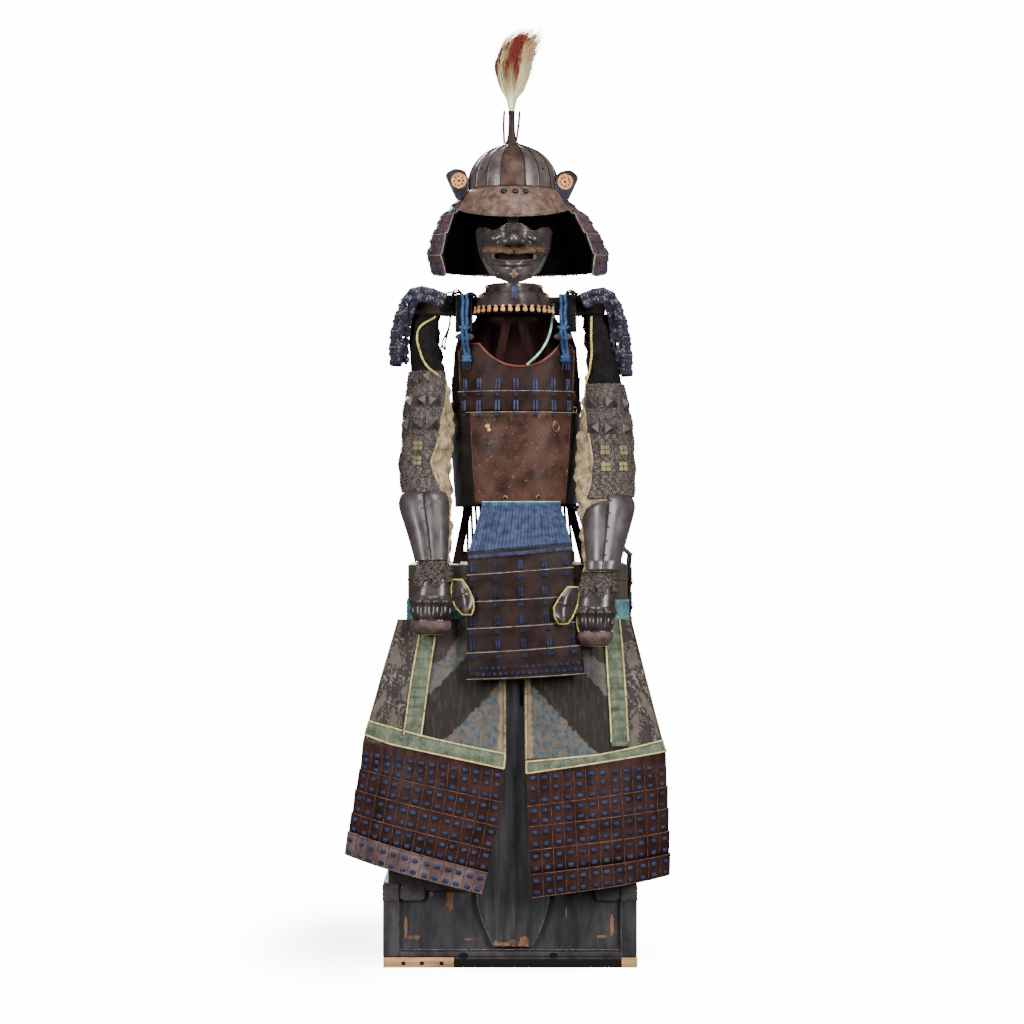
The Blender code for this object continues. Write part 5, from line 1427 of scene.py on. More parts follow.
def make_breast():
    columns = spread(-61.0, 63.0, 90)
    tops = [neck_curve(u) for u in columns]
    torso_panel("breast_upper", columns, tops, BREAST_BOTTOM - 0.006, 26, "leather", "brown_leather", dent,
                ("breast_plate",), taper=0.05, middle=1.0)
    rim = [on_torso(u, top, 0.0004) for u, top in zip(columns, tops)]
    cords("breast_rim", [rim[18:-18]], 0.0027, "rim_red", "brown_leather", 10)
    sides = [[on_torso(end * (1.0 - 0.05 * t) + 0.05 * t, BREAST_TOP - 0.012 - 0.088 * t, 0.0004)
              for t in spread(0.0, 1.0, 12)] for end in (-61.0, 63.0)]
    cords("breast_side_rims", sides + [rim[:19], rim[-19:]], 0.0018, "rim_dark", "brown_leather", 8)
    columns = spread(-58.0, 61.0, 70)
    torso_panel("breast_lower", columns, [BREAST_BOTTOM] * len(columns), LAME_BOTTOM + 0.002, 8, "leather",
                "brown_leather", lambda u, z, share: 0.003 * (1.0 - share) + dent(u, z, share) * 0.5, ("breast_lame",))
    columns = spread(-43.5, 55.0, 70)

    def chest_form(u, z, share):
        return 0.003 * max(0.0, 1.0 - share * 8.0) + 0.0012 * bump_at(share, 0.5, 0.3) + dent(u, z, share)
    torso_panel("front_lower", columns, [LAME_BOTTOM] * len(columns), CUIRASS_BOTTOM, 30, "leather_red",
                "brown_leather", chest_form, ("front_plate",), taper=0.08, middle=7.0)
    ends = [[on_torso(7.0 + (end - 7.0) * (1.0 - 0.08 * s), LAME_BOTTOM + (CUIRASS_BOTTOM - LAME_BOTTOM) * s, 0.0010)
             for s in spread(0.0, 1.0, 20)] for end in (-43.5, 55.0)]
    cords("front_lower_rims", ends, 0.0012, "rim_dark", "brown_leather", 6)
    # painted highlight: light cords along the lames' top edges
    edges = []
    for z, out, start, end in ((BREAST_BOTTOM, 0.0034, -58.0, 61.0), (LAME_BOTTOM + 0.0005, 0.0036, -48.0, 58.0)):
        edges.append([on_torso(u, z, out) for u in spread(start, end, 60)])
    cords("breast_lame_edges", edges, 0.0011, "lame_edge_highlight", "brown_leather", 6)
    laces = Spots()
    dark = Spots()
    for number, u in enumerate(LACE_DEGREES):
        slant = 0.05 * math.sin(number * 2.3)
        for pair in (-1.35, 1.35):
            for z, out, tall in ((1.2497, 0.0012, 0.0265), (1.2040, 0.0036, 0.0235)):
                point, across, up, outward = axes_on(torso, u + pair, TORSO_TOP - z, out)
                lean = (across + up * slant).normalized()
                laces.add((point, lean, outward.cross(lean), outward), (0.0047, tall, 0.0038))
        for z, out, size in ((1.2270, 0.0040, (0.0095, 0.0062, 0.0042)), (1.1830, 0.0044, (0.0085, 0.0058, 0.0040))):
            dark.add(axes_on(torso, u, TORSO_TOP - z, out), size)
    laces.make("breast_lacing", "pad", "violet_cord", "blue_lacing", 2)
    dark.make("breast_lace_knots", "pad", "navy_cord", "blue_lacing", 2)
    bolts = Spots()
    # painted shade: dark pads stand for the holes in the bolt rings and two small holes
    sockets = Spots()
    for u, z, size in ((-9.7, 1.004, 0.0125), (20.5, 1.006, 0.0115)):
        bolts.add(axes_on(torso, u, TORSO_TOP - z, 0.0020), (size, size, size * 0.45))
        sockets.add(axes_on(torso, u, TORSO_TOP - z, 0.0034), (size * 0.62, size * 0.62, size * 0.42))
    for u, z in ((-26.0, 1.130), (-26.0, 1.118)):
        sockets.add(axes_on(torso, u, TORSO_TOP - z, 0.0016), (0.0032, 0.0032, 0.0014))
    bolts.make("front_bolts", "ball", "brass", "russet_iron", 16)
    sockets.make("front_socket_shade", "ball", "painted_shade", "russet_iron", 14)
    stud = Spots.on(torso, ((-25.0, TORSO_TOP - 1.159, 0.0034, (0.0125, 0.0110, 0.0085)),
                            (-23.4, TORSO_TOP - 1.151, 0.0034, (0.0090, 0.0080, 0.0060))))
    stud.make("front_stud", "ball", "ivory_cord", "brown_leather", 16)


def make_side_plates():
    for side, start, end in (("left", -101.0, -38.0), ("right", 49.0, 101.0)):
        columns = spread(start, end, 40)
        tops = [1.214 + 0.022 * math.sin(math.radians(min(max(abs(u) - 42.0, 0.0), 30.0) * 6)) for u in columns]
        torso_panel("side_panel_" + side, columns, tops, 0.985, 24, "black", "black_lacquer", dent,
                    ("side_plate_" + side,), out=-(IRON + 0.0006))
        shown = [(u, top) for u, top in zip(columns, tops) if start < 0 and u < -42 or start > 0 and u > 50]
        cap = [[on_torso(u, top - drop, -0.0010 + 0.0030 * math.sin(math.pi * (0.15 + drop / 0.026 * 0.85)))
                for u, top in shown] for drop in spread(0.0, 0.024, 6)]
        sheet_of("side_panel_cap_" + side, cap, 0.0010, "leather", "brown_leather")
        cords("side_panel_rim_" + side, [[on_torso(u, top, -0.0002) for u, top in shown]], 0.0020, "rim_dark",
              "brown_leather", 8)


def make_back():
    columns = [95.0] + spread(102.0, 110.0, 6) + spread(114.0, 246.0, 80) + spread(250.0, 265.0, 6)
    torso_panel("back_panel", columns, [back_curve(u) for u in columns], 0.985, 44, "black", "black_lacquer",
                lambda u, z, share: dent(u, z, share) - 0.0016 * bump_at(u, 180.0, 5.0), ("back_plate",))
    columns = spread(116.0, 244.0, 60)
    torso_panel("back_panel_lining", columns, [back_curve(u) - 0.002 for u in columns], 0.99, 24, "red_inside",
                "black_lacquer", lambda *place: 0.0, out=-0.0036)
    rim = [on_torso(u, back_curve(u), -0.0006) + Vector((0, 0, max(back_curve(u) - TORSO_TOP, 0.0)))
           for u in spread(114.0, 246.0, 60)]
    cords("back_rim", [rim], 0.0019, "black", "black_lacquer", 8)
    # painted highlight: light cords along the lames' edges
    lines = [[on_torso(u, z, 0.0010) for u in spread(104.0, 256.0, 60)] for z in (1.235, 1.189, 1.12)]
    cords("back_lame_edges", lines, 0.0012, "lame_edge_highlight", "black_lacquer", 6)
    laces = Spots.on(torso, [(112.0 + 17.0 * number + pair, TORSO_TOP - z, 0.0010, (0.0045, 0.020, 0.0034))
                             for number in range(9) for pair in (-1.6, 1.6) for z in (1.224, 1.178)])
    laces.make("back_lacing", "pad", "navy_cord", "blue_lacing", 1)


def make_side_loop():
    """The loop and short toggle that tie the right side plate."""
    loop = [on_torso(62.0 + 3.4 * math.cos(t), 1.196 + 0.0065 * math.sin(t), 0.0030)
            for t in spread(0.0, math.tau, 20)]
    cords("side_loop", [loop], 0.0014, "ivory_cord", "blue_lacing", 8)
    knob = Spots.on(torso, [(57.5, TORSO_TOP - 1.199, 0.0035, (0.013, 0.006, 0.006))])
    knob.make("side_toggle", "ball", "black_cord", "black_lacquer", 14)


STRAP_PATH = (
    # y and z of a shoulder strap's outer face, from the back plate over the bar to the front
    (0.0500, 1.3906), (0.0490, 1.425), (0.0330, 1.446), (0.0130, 1.4506), (-0.0130, 1.4506),
    (-0.0350, 1.438), (-0.0600, 1.405), (-0.0780, 1.365),
)


def make_shoulders():
    places = (("left", -0.117, -0.084, -0.0985, -0.0855), ("right", 0.110, 0.143, 0.1155, -0.0830))
    for side, low, high, toggle_x, rest_y in places:
        path = smooth_route([(0.0, y, z) for y, z in STRAP_PATH], 40)
        rows = [[Vector((x, p.y, p.z + 0.0008 * math.sin(math.pi * (x - low) / (high - low))))
                 for x in spread(low, high, 8)] for p in path]
        sheet_of("strap_" + side, rows, 0.0036, "black_cloth", "black_lacquer", ("shoulder_strap_" + side,))
        rims = [[Vector((x, p.y, p.z)) for p in path] for x in (low, high)]
        cords("strap_rims_" + side, rims, 0.0016, "black", "brown_leather", 8)
        knob = Spots([(level_axes((toggle_x, -0.0885, 1.3534), Vector((0.0, -0.86, 0.5))), (0.0420, 0.0180, 0.0170))])
        knob.make("toggle_knob_" + side, "ball", "roll", "black_lacquer", 24, nodes=("toggle_" + side,))
        route = ((toggle_x - 0.002, -0.0350, 1.4475), (toggle_x, -0.0420, 1.4435), (toggle_x, -0.0690, 1.411),
                 (toggle_x, -0.0890, 1.378), (toggle_x, -0.1037, 1.3534),
                 (toggle_x + 0.004, rest_y - 0.006, 1.325), (toggle_x + 0.006, rest_y, 1.293))
        middle = smooth_route(route, 60)
        plies = []
        for shift in (-0.0046, 0.0046):
            line = []
            for number, point in enumerate(middle):
                pinch = 1.0 - 0.75 * bump_at(point.z, 1.372, 0.005) - 0.8 * bump_at(point.z, 1.306, 0.008)
                line.append(point + Vector((shift * pinch + 0.0008 * math.sin(number * 0.5), -0.0004, 0.0)))
            plies.append(line)
        cords("shoulder_braid_" + side, plies, 0.0036, "blue_cord", "blue_lacing", 10,
              nodes=("shoulder_cord_" + side,))
        loops = []
        for z, y, tall in ((1.3534, -0.0965, 0.0105), (1.372, -0.0925, 0.0060)):
            loops.append([Vector((toggle_x + 0.0105 * math.cos(t), y - 0.0075 * math.sin(t),
                                  z + tall * 0.4 * math.cos(t * 2))) for t in round_turns(24)])
        cords("toggle_loops_" + side, loops, 0.0030, "blue_cord", "blue_lacing", 8, closed=True)
        knot = Spots()
        spot = Vector((toggle_x + 0.0045, rest_y - 0.0062, 1.306))
        for lean, shift in ((-0.5, 0.0), (0.5, 0.0), (0.0, -0.004)):
            across = Vector((math.cos(lean), 0, math.sin(lean)))
            knot.add((spot + Vector((0, 0, shift)), across, FRONT.cross(across), FRONT), (0.023, 0.0080, 0.0100))
        knot.make("cord_knot_" + side, "pad", "blue_cord", "blue_lacing", 2)
        ends = [[spot + Vector((x, 0.0, -0.004)), spot + Vector((x * 1.6, 0.002, -0.014)),
                 spot + Vector((x * 1.4, 0.003, -0.024))] for x in (-0.004, 0.001, 0.005)]
        cords("cord_ends_" + side, ends, 0.0021, "navy_cord", "blue_lacing", 6)


# Skirt panels and their suspension

SKIRT_LINES = (
    Line(-0.0890, 0.8914, 0.1314, 0.9125, -0.200, -0.200, 0.026),
    Line(-0.0893, 0.8426, 0.1335, 0.8596, -0.206, -0.206, 0.028),
    Line(-0.0897, 0.7854, 0.1360, 0.7981, -0.208, -0.208, 0.029),
    Line(-0.0900, 0.7282, 0.1420, 0.7430, -0.210, -0.210, 0.030),
    Line(-0.0905, 0.6773, 0.1500, 0.6943, -0.211, -0.211, 0.030),
    Line(-0.0911, 0.6180, 0.1590, 0.6307, -0.212, -0.212, 0.030),
)


def hanging_panel(lines):
    """A point function of a curved hanging panel between lines that run left to right."""
    def point(u, v):
        line = between(lines, v)
        x = line.left_x + (line.right_x - line.left_x) * u
        z = line.left_z + (line.right_z - line.left_z) * u
        y = line.left_y + (line.right_y - line.left_y) * u - line.bulge * math.sin(math.pi * u)
        return Vector((x, y, z))
    return surface(point, 0.01, 0.02)


def laced_panel(name, skin, slot, nodes, columns, proud=0.004, foot_knots=20):
    """Five lames with painted-highlight cords on their top edges and foot, double lacing columns and two rows of knots
    at the foot.
    """
    lames = 5
    rise = lame_rise(proud)
    across = spread(0.0, 1.0, 44)
    rows = [[skin(u, v, rise(u, v)) for u in across] for v in lame_places(lames)]
    sheet_of(name, rows, IRON, "skirt", slot, nodes)
    edges = [[skin(u, lame + 0.05, rise(u, lame + 0.05) + 0.0004) for u in across] for lame in range(lames)]
    edges.append([skin(u, lames - 0.01, 0.0006) for u in across])
    cords(name + "_edges", edges, 0.0012, "lame_edge_highlight", slot, 6)
    laces = Spots()
    for u in columns:
        for pair in (-0.012, 0.012):
            for lame in range(1, lames):
                laces.add(axes_on(skin, u + pair, lame - 0.21, 0.0018), (0.0052, 0.022, 0.0036))
                laces.add(axes_on(skin, u + pair, lame + 0.24, proud * 0.76 + 0.0008), (0.0052, 0.0085, 0.0034))
    laces.make(name + "_lacing", "pad", "navy_cord", "blue_lacing", 2)
    knots = Spots()
    for v, shift in ((lames - 0.38, 0.0), (lames - 0.17, 0.3)):
        for i in range(foot_knots):
            u = 0.03 + 0.94 * min((i + shift) / (foot_knots - 0.7), 1.0)
            knots.add(axes_on(skin, u, v, 0.0020), (0.0078, 0.0066, 0.0042))
    knots.make(name + "_foot_knots", "pad", "navy_cord", "blue_lacing", 2)


def make_front_skirt():
    skin = hanging_panel(SKIRT_LINES)
    laced_panel("front_skirt_lames", skin, "brown_leather", ("front_skirt",), (0.05, 0.275, 0.50, 0.725, 0.93))
    braid = Spots.on(skin, [(u, 0.30, 0.0040, (0.0048, 0.0092, 0.0044)) for u in spread(0.02, 0.98, 45)])
    braid.make("skirt_braid_row", "pad", "violet_cord", "blue_lacing", 2)
    count = 28
    routes = []
    for number in range(count):
        share = number / (count - 1)
        top = on_torso(-31.0 + 74.0 * share, CUIRASS_BOTTOM - 0.002, 0.0010)
        foot = skin(0.03 + 0.94 * share, 0.10, 0.0050)
        sag = Vector((0.0006 * math.sin(number * 2.9), -0.0012 * math.sin(number * 1.9), 0.0))
        routes.append(smooth_route((top, top.lerp(foot, 0.35) + sag, top.lerp(foot, 0.7) + sag * 0.5, foot), 14))
    cords("suspension_cords", routes, lambda share: 0.0037 + 0.0013 * share, "grey_cord", "blue_lacing", 8,
          nodes=("front_suspension",))
    bands = []
    for z, out in ((0.9925, 0.0026), (0.9890, 0.0030)):
        bands.append([on_torso(-32.0 + 76.0 * s, z, out) for s in spread(0.0, 1.0, 40)])
    cords("suspension_band", bands, 0.0026, "bright_cord", "blue_lacing", 8)
    edge = [on_torso(-32.0 + 76.0 * s, 0.9963, 0.0022) for s in spread(0.0, 1.0, 40)]
    cords("suspension_band_edge", [edge], 0.0013, "cream", "green_brocade", 6)


def turned(skin, turn, shift):
    """The same panel turned about the upright axis and moved."""
    cos, sin = math.cos(turn), math.sin(turn)

    def moved(u, v, out=0.0):
        point = skin(u, v, out)
        return Vector((point.x * cos - point.y * sin, point.x * sin + point.y * cos, point.z)) + shift
    moved.steps = skin.steps
    return moved


def make_hidden_skirts():
    def plain_lines(half, top):
        return [Line(-half - 0.004 * row, top - 0.054 * row, half + 0.004 * row, top - 0.054 * row,
                     0.0, 0.0, 0.006) for row in range(6)]
    places = (
        ("side", 0.075, math.pi / 2, Vector((LID_MIDDLE + LID_HALF_WIDTH + 0.0078, 0.03, 0.0)), 90.0, 26.0,
         (0.09, 0.36, 0.64, 0.91), 11),
        ("back", 0.130, math.pi, Vector((LID_MIDDLE, CHEST_BACK + 0.0078, 0.0)), 180.0, 58.0,
         (0.05, 0.23, 0.41, 0.59, 0.77, 0.95), 19),
    )
    for name, half, turn, shift, middle, reach, columns, knots in places:
        skin = turned(hanging_panel(plain_lines(half, 0.885)), turn, shift)
        laced_panel(name + "_skirt_lames", skin, "black_lacquer", (name + "_skirt",), columns, 0.0035, knots)
        routes = []
        count = 12 if name == "side" else 22
        for number in range(count):
            share = number / (count - 1)
            top = torso(middle - reach + 2 * reach * share, TORSO_TOP - 0.9875, 0.0016)
            foot = skin(0.02 + 0.96 * share, 0.10, 0.0042)
            routes.append([top.lerp(foot, t) for t in spread(0.0, 1.0, 8)])
        cords(name + "_suspension", routes, 0.0027, "grey_cord", "blue_lacing", 6)


# Sleeves, forearm plates and hand guards

SLEEVES = {
    "left": (
        Ring(1.4053, -0.1870, 0.000, 0.030, 0.046), Ring(1.345, -0.1880, -0.012, 0.034, 0.050),
        Ring(1.286, -0.1800, -0.032, 0.037, 0.052), Ring(1.245, -0.1765, -0.045, 0.043, 0.052),
        Ring(1.205, -0.1760, -0.055, 0.050, 0.052), Ring(1.160, -0.1745, -0.060, 0.053, 0.050),
        Ring(1.115, -0.1780, -0.064, 0.054, 0.048), Ring(1.075, -0.1830, -0.070, 0.054, 0.046),
        Ring(1.020, -0.1770, -0.085, 0.052, 0.044), Ring(0.985, -0.1760, -0.100, 0.050, 0.042),
        Ring(0.930, -0.1680, -0.135, 0.044, 0.036), Ring(0.8665, -0.1620, -0.174, 0.034, 0.027),
    ),
    "right": (
        Ring(1.4053, 0.1900, 0.000, 0.030, 0.046), Ring(1.345, 0.1960, -0.012, 0.032, 0.050),
        Ring(1.286, 0.2040, -0.032, 0.035, 0.052), Ring(1.245, 0.2050, -0.045, 0.041, 0.052),
        Ring(1.205, 0.2050, -0.055, 0.048, 0.052), Ring(1.160, 0.2060, -0.060, 0.056, 0.050),
        Ring(1.115, 0.2050, -0.064, 0.060, 0.048), Ring(1.075, 0.2045, -0.070, 0.063, 0.046),
        Ring(1.020, 0.2030, -0.085, 0.062, 0.044), Ring(0.985, 0.2020, -0.100, 0.055, 0.042),
        Ring(0.930, 0.1975, -0.142, 0.047, 0.034), Ring(0.8665, 0.1920, -0.1945, 0.037, 0.026),
        Ring(0.8475, 0.1900, -0.1980, 0.035, 0.026),
    ),
}
HANDS = {
    "left": (
        Slice(0.8657, -0.163, 0.031, -0.179, 0.026), Slice(0.824, -0.1636, 0.038, -0.190, 0.026),
        Slice(0.788, -0.1657, 0.0424, -0.200, 0.027), Slice(0.756, -0.1667, 0.0414, -0.206, 0.028),
        Slice(0.730, -0.1667, 0.037, -0.207, 0.027), Slice(0.716, -0.168, 0.028, -0.205, 0.018),
    ),
    "right": (
        Slice(0.8467, 0.190, 0.032, -0.194, 0.026), Slice(0.808, 0.186, 0.038, -0.206, 0.025),
        Slice(0.770, 0.1816, 0.0400, -0.216, 0.024), Slice(0.735, 0.1810, 0.0380, -0.220, 0.024),
        Slice(0.710, 0.1808, 0.032, -0.221, 0.023), Slice(0.692, 0.1800, 0.022, -0.220, 0.016),
    ),
}
THUMBS = {
    "left": (
        Thumb(0.830, 0.0060, -0.1010, -0.212, 0.006), Thumb(0.812, 0.0005, -0.0880, -0.222, 0.012),
        Thumb(0.790, 0.0005, -0.0780, -0.229, 0.014), Thumb(0.772, 0.0100, -0.0760, -0.231, 0.012),
        Thumb(0.757, 0.0260, -0.0820, -0.231, 0.007),
    ),
    "right": (
        Thumb(0.815, 0.0060, 0.1220, -0.226, 0.006), Thumb(0.795, 0.0005, 0.1060, -0.238, 0.010),
        Thumb(0.773, 0.0005, 0.0930, -0.241, 0.012), Thumb(0.752, 0.0100, 0.0945, -0.242, 0.010),
        Thumb(0.738, 0.0220, 0.1040, -0.243, 0.006),
    ),
}


def sleeve_skin(side):
    table = SLEEVES[side]
    top = table[0].z
    return surface(lambda u, v: on_ring(at_height(table, top - v), u), 3.0, 0.006), top


MAIL_EDGE = {
    # height and degrees of the mail's edge on the inner side of the arm
    "left": ((1.290, 62.0), (1.23, 50.0), (1.17, 27.0), (1.13, 23.0), (1.084, 12.0), (1.05, 20.0), (1.0, 40.0)),
    "right": ((1.290, 68.0), (1.20, 55.0), (1.17, 44.0), (1.12, 30.0), (1.084, 24.0), (1.03, 28.0), (0.98, 44.0)),
}
PIPING = {
    # height and degrees of the piping down the upper sleeve
    "left": ((1.400, -44.0), (1.372, 18.0), (1.325, 17.0), (1.288, -2.0), (1.262, -44.0), (1.240, -52.0)),
    "right": ((1.400, -22.0), (1.360, -30.0), (1.320, -36.0), (1.285, -52.0), (1.255, -66.0), (1.235, -64.0)),
}
SPLIT = {"left": 1.262, "right": 1.234}
MAIL_TOP = {"left": 1.278, "right": 1.250}
PLATE_TOP = {"left": 1.021, "right": 1.012}


def mail_edge(side, z):
    table = MAIL_EDGE[side]
    for (high, first), (low, second) in zip(table, table[1:]):
        if z >= low:
            return first + (second - first) * (high - z) / (high - low)
    return table[-1][1]


def make_sleeve(side):
    """The cloth tube, black at the top and hemp below, with its folds and piping."""
    skin, top = sleeve_skin(side)
    table = SLEEVES[side]
    outer = -1 if side == "left" else 1
    foot = table[-1].z
    degrees = spread(0.0, 360.0 * 95 / 96, 95)

    def fold(u, z):
        inner = 0.5 - 0.5 * math.cos(math.radians(u - outer * 90.0))
        creases = 0.0022 * math.sin(z * 150.0 + u * 0.05) + 0.0018 * math.sin(z * 83.0 - u * 0.09 + 1.0)
        creases += 0.0012 * math.sin(z * 260.0 + math.sin(u * 0.07) * 2.0)
        return creases * (0.08 + 0.92 * inner ** 2) - 0.0006
    split = SPLIT[side]
    for part, heights, look in (("black", spread(top, split, 30), "black_cloth"),
                                ("hemp", spread(split, foot, 90), "hemp")):
        rows = [[skin(u, top - z, fold(u, z)) for u in degrees] for z in heights]
        piece = sheet_of("sleeve_%s_%s" % (part, side), rows, 0.0016, look, "hemp_cloth",
                         ("sleeve_" + side,) if part == "hemp" else (), closed=True)
    mouth = [skin(u, 0.002, 0.0010) for u in degrees]
    cords("sleeve_mouth_" + side, [mouth], 0.0018, "black_cloth", "hemp_cloth", 8, closed=True)
    drawn = smooth_route([Vector((z, u, 0.0)) for z, u in PIPING[side]], 60)
    line = [skin(outer * p.y, top - p.x, 0.0030) for p in drawn]
    cords("sleeve_piping_" + side, [line], 0.0024, "piping", "green_brocade", 8)
    low = PLATE_TOP[side] - 0.004
    edge = [skin(-outer * mail_edge(side, z), top - z, 0.0044 + 0.0008 * math.sin(z * 170.0))
            for z in spread(PIPING[side][-1][0], low, 40)]
    cords("mail_edge_" + side, [edge], 0.0027, "hemp", "hemp_cloth", 8)


PYRAMIDS = {
    # degrees round to the outside, and height
    "left": ((10, 1.266), (38, 1.262), (19, 1.215), (-15, 1.214), (52, 1.212), (26, 1.165), (-8, 1.164), (62, 1.163)),
    "right": ((-31, 1.211), (15, 1.210), (58, 1.208), (-25, 1.156), (11, 1.155), (49, 1.154)),
}
PATCHES = {
    "left": ((20, 1.116), (18, 1.084)),
    "right": ((0, 1.107), (38, 1.106), (2, 1.070), (36, 1.071)),
}


def make_mail(side):
    """Mail over the front and outside of the arm, with rows of small pyramids and woven patches."""
    skin, top = sleeve_skin(side)
    outer = -1 if side == "left" else 1
    base = 0.0040
    far = 116.0
    mail_top = MAIL_TOP[side]
    mail_foot = PLATE_TOP[side] - 0.010

    def sag(u, v):
        return 0.0012 * math.sin(v * 120.0 + u * 0.06) + 0.0008 * math.sin(v * 47.0 - u * 0.11)
    rows = []
    for z in spread(mail_top, mail_foot, 64):
        places = sorted(outer * d for d in spread(-mail_edge(side, z), far, 56))
        rows.append([skin(u, top - z, base + sag(u, top - z)) for u in places])
    sheet_of("mail_" + side, rows, 0.0012, "mail", "mail_cloth", ("arm_mail_" + side,))
    links = Spots()
    spacing = 0.0066
    count = int((mail_top - mail_foot) / spacing)
    for row in range(count):
        z = mail_top - 0.002 - spacing * row
        ring = at_height(SLEEVES[side], z)
        low, high = sorted((-outer * mail_edge(side, z), outer * far))
        girth = math.radians(high - low) * (ring.rx + ring.ry) / 2
        around = int(girth / spacing)
        for i in range(around):
            u = low + (high - low) * (i + 0.5 * (row % 2) + 0.2) / around
            point, right, up, outward = axes_on(skin, u, top - z, base + sag(u, top - z) + 0.0006)
            tilted = (outward + right * (0.5 if (i + row) % 2 else -0.5)).normalized()
            links.add((point, up.cross(tilted).normalized(), up, tilted), (0.0062, 0.0062, 0.0062))
    links.make("mail_links_" + side, "hoop", "link", "mail_cloth", 6)
    half = 0.0138
    faces = []
    points = []
    for u, z in PYRAMIDS[side]:
        point, right, up, outward = axes_on(skin, outer * u, top - z, base + 0.0030)
        first = len(points)
        for size, lift in ((half, -0.0030), (half, 0.0), (half * 0.88, 0.0008)):
            for sx, sz in ((-1, -1), (1, -1), (1, 1), (-1, 1)):
                points.append(point + right * size * sx + up * size * sz * 0.86 + outward * lift)
        points.append(point + outward * 0.0095)
        for i in range(4):
            n = (i + 1) % 4
            faces.append((first + i, first + n, first + 4 + n, first + 4 + i))
            faces.append((first + 4 + i, first + 4 + n, first + 8 + n, first + 8 + i))
            faces.append((first + 8 + i, first + 8 + n, first + 12))
    mesh = bpy.data.meshes.new("pyramids_" + side)
    mesh.from_pydata(points, [], faces)
    put_in("mail_pyramids_" + side, mesh, "pyramid", "mail_cloth")
    pads = Spots()
    for u, z in PATCHES[side]:
        for dx in (-0.0052, 0.0052):
            for dz in (-0.0052, 0.0052):
                point, right, up, outward = axes_on(skin, outer * u, top - z, base + 0.0024)
                pads.add((point + right * dx + up * dz, right, up, outward), (0.0100, 0.0100, 0.0028))
    pads.make("mail_patches_" + side, "pad", "patch", "mail_cloth", 2)


def make_forearm(side):
    """Two glossy swelling plates with a seam between them, riveted along it."""
    skin, top = sleeve_skin(side)
    table = SLEEVES[side]
    outer = -1 if side == "left" else 1
    wrist = table[-1].z + 0.002
    plate_top = PLATE_TOP[side]
    count = 28

    def swell(z, part):
        share = (plate_top - z) / (plate_top - wrist)
        rising = share / 0.22
        return 0.0044 + 0.0110 * rising * math.exp(1.0 - rising) * (0.55 + 0.45 * math.sin(math.pi * part)) \
            + 0.0026 * math.sin(math.pi * part)
    for name, start, end in (("outer", 8.0, 98.0), ("inner", 7.0, -50.0)):
        rows = []
        for share in spread(0.0, 1.0, 40):
            row = []
            for i in range(count + 1):
                part = i / count
                if name == "outer":
                    high = plate_top - 0.034 * part ** 3
                elif side == "left":
                    high = plate_top - 0.002 - 0.016 * part ** 5
                else:
                    high = plate_top - 0.016 - 0.036 * part ** 1.6
                z = high + (wrist - high) * share
                lip = -0.0022 * max(0.0, 1.0 - share * 14.0)
                row.append(skin(outer * (start + (end - start) * part), top - z, swell(z, part) + lip))
            rows.append(row if outer * (end - start) > 0 else row[::-1])
        sheet_of("forearm_%s_plate_%s" % (name, side), rows, IRON, "glossy", "forearm_lacquer",
                 ("forearm_%s_%s" % (name, side),), sharp=60.0)
    heights = [plate_top + (wrist - plate_top) * share for share in (0.10, 0.28, 0.46, 0.64, 0.82)]
    rivets = Spots.on(skin, [(outer * 13.0, top - z, swell(z, 0.05) + 0.0004, (0.0052, 0.0052, 0.0034))
                             for z in heights])
    rivets.make("forearm_rivets_" + side, "ball", "patina", "russet_iron", 12)


def hand_point(hand, u, z):
    cut = at_height(hand, z)
    crown = math.sqrt(max(0.0, 1.0 - 0.92 * u * u)) - 0.28
    return Vector((cut.cx + cut.half * u, cut.edge_y - cut.bulge * crown, cut.z))


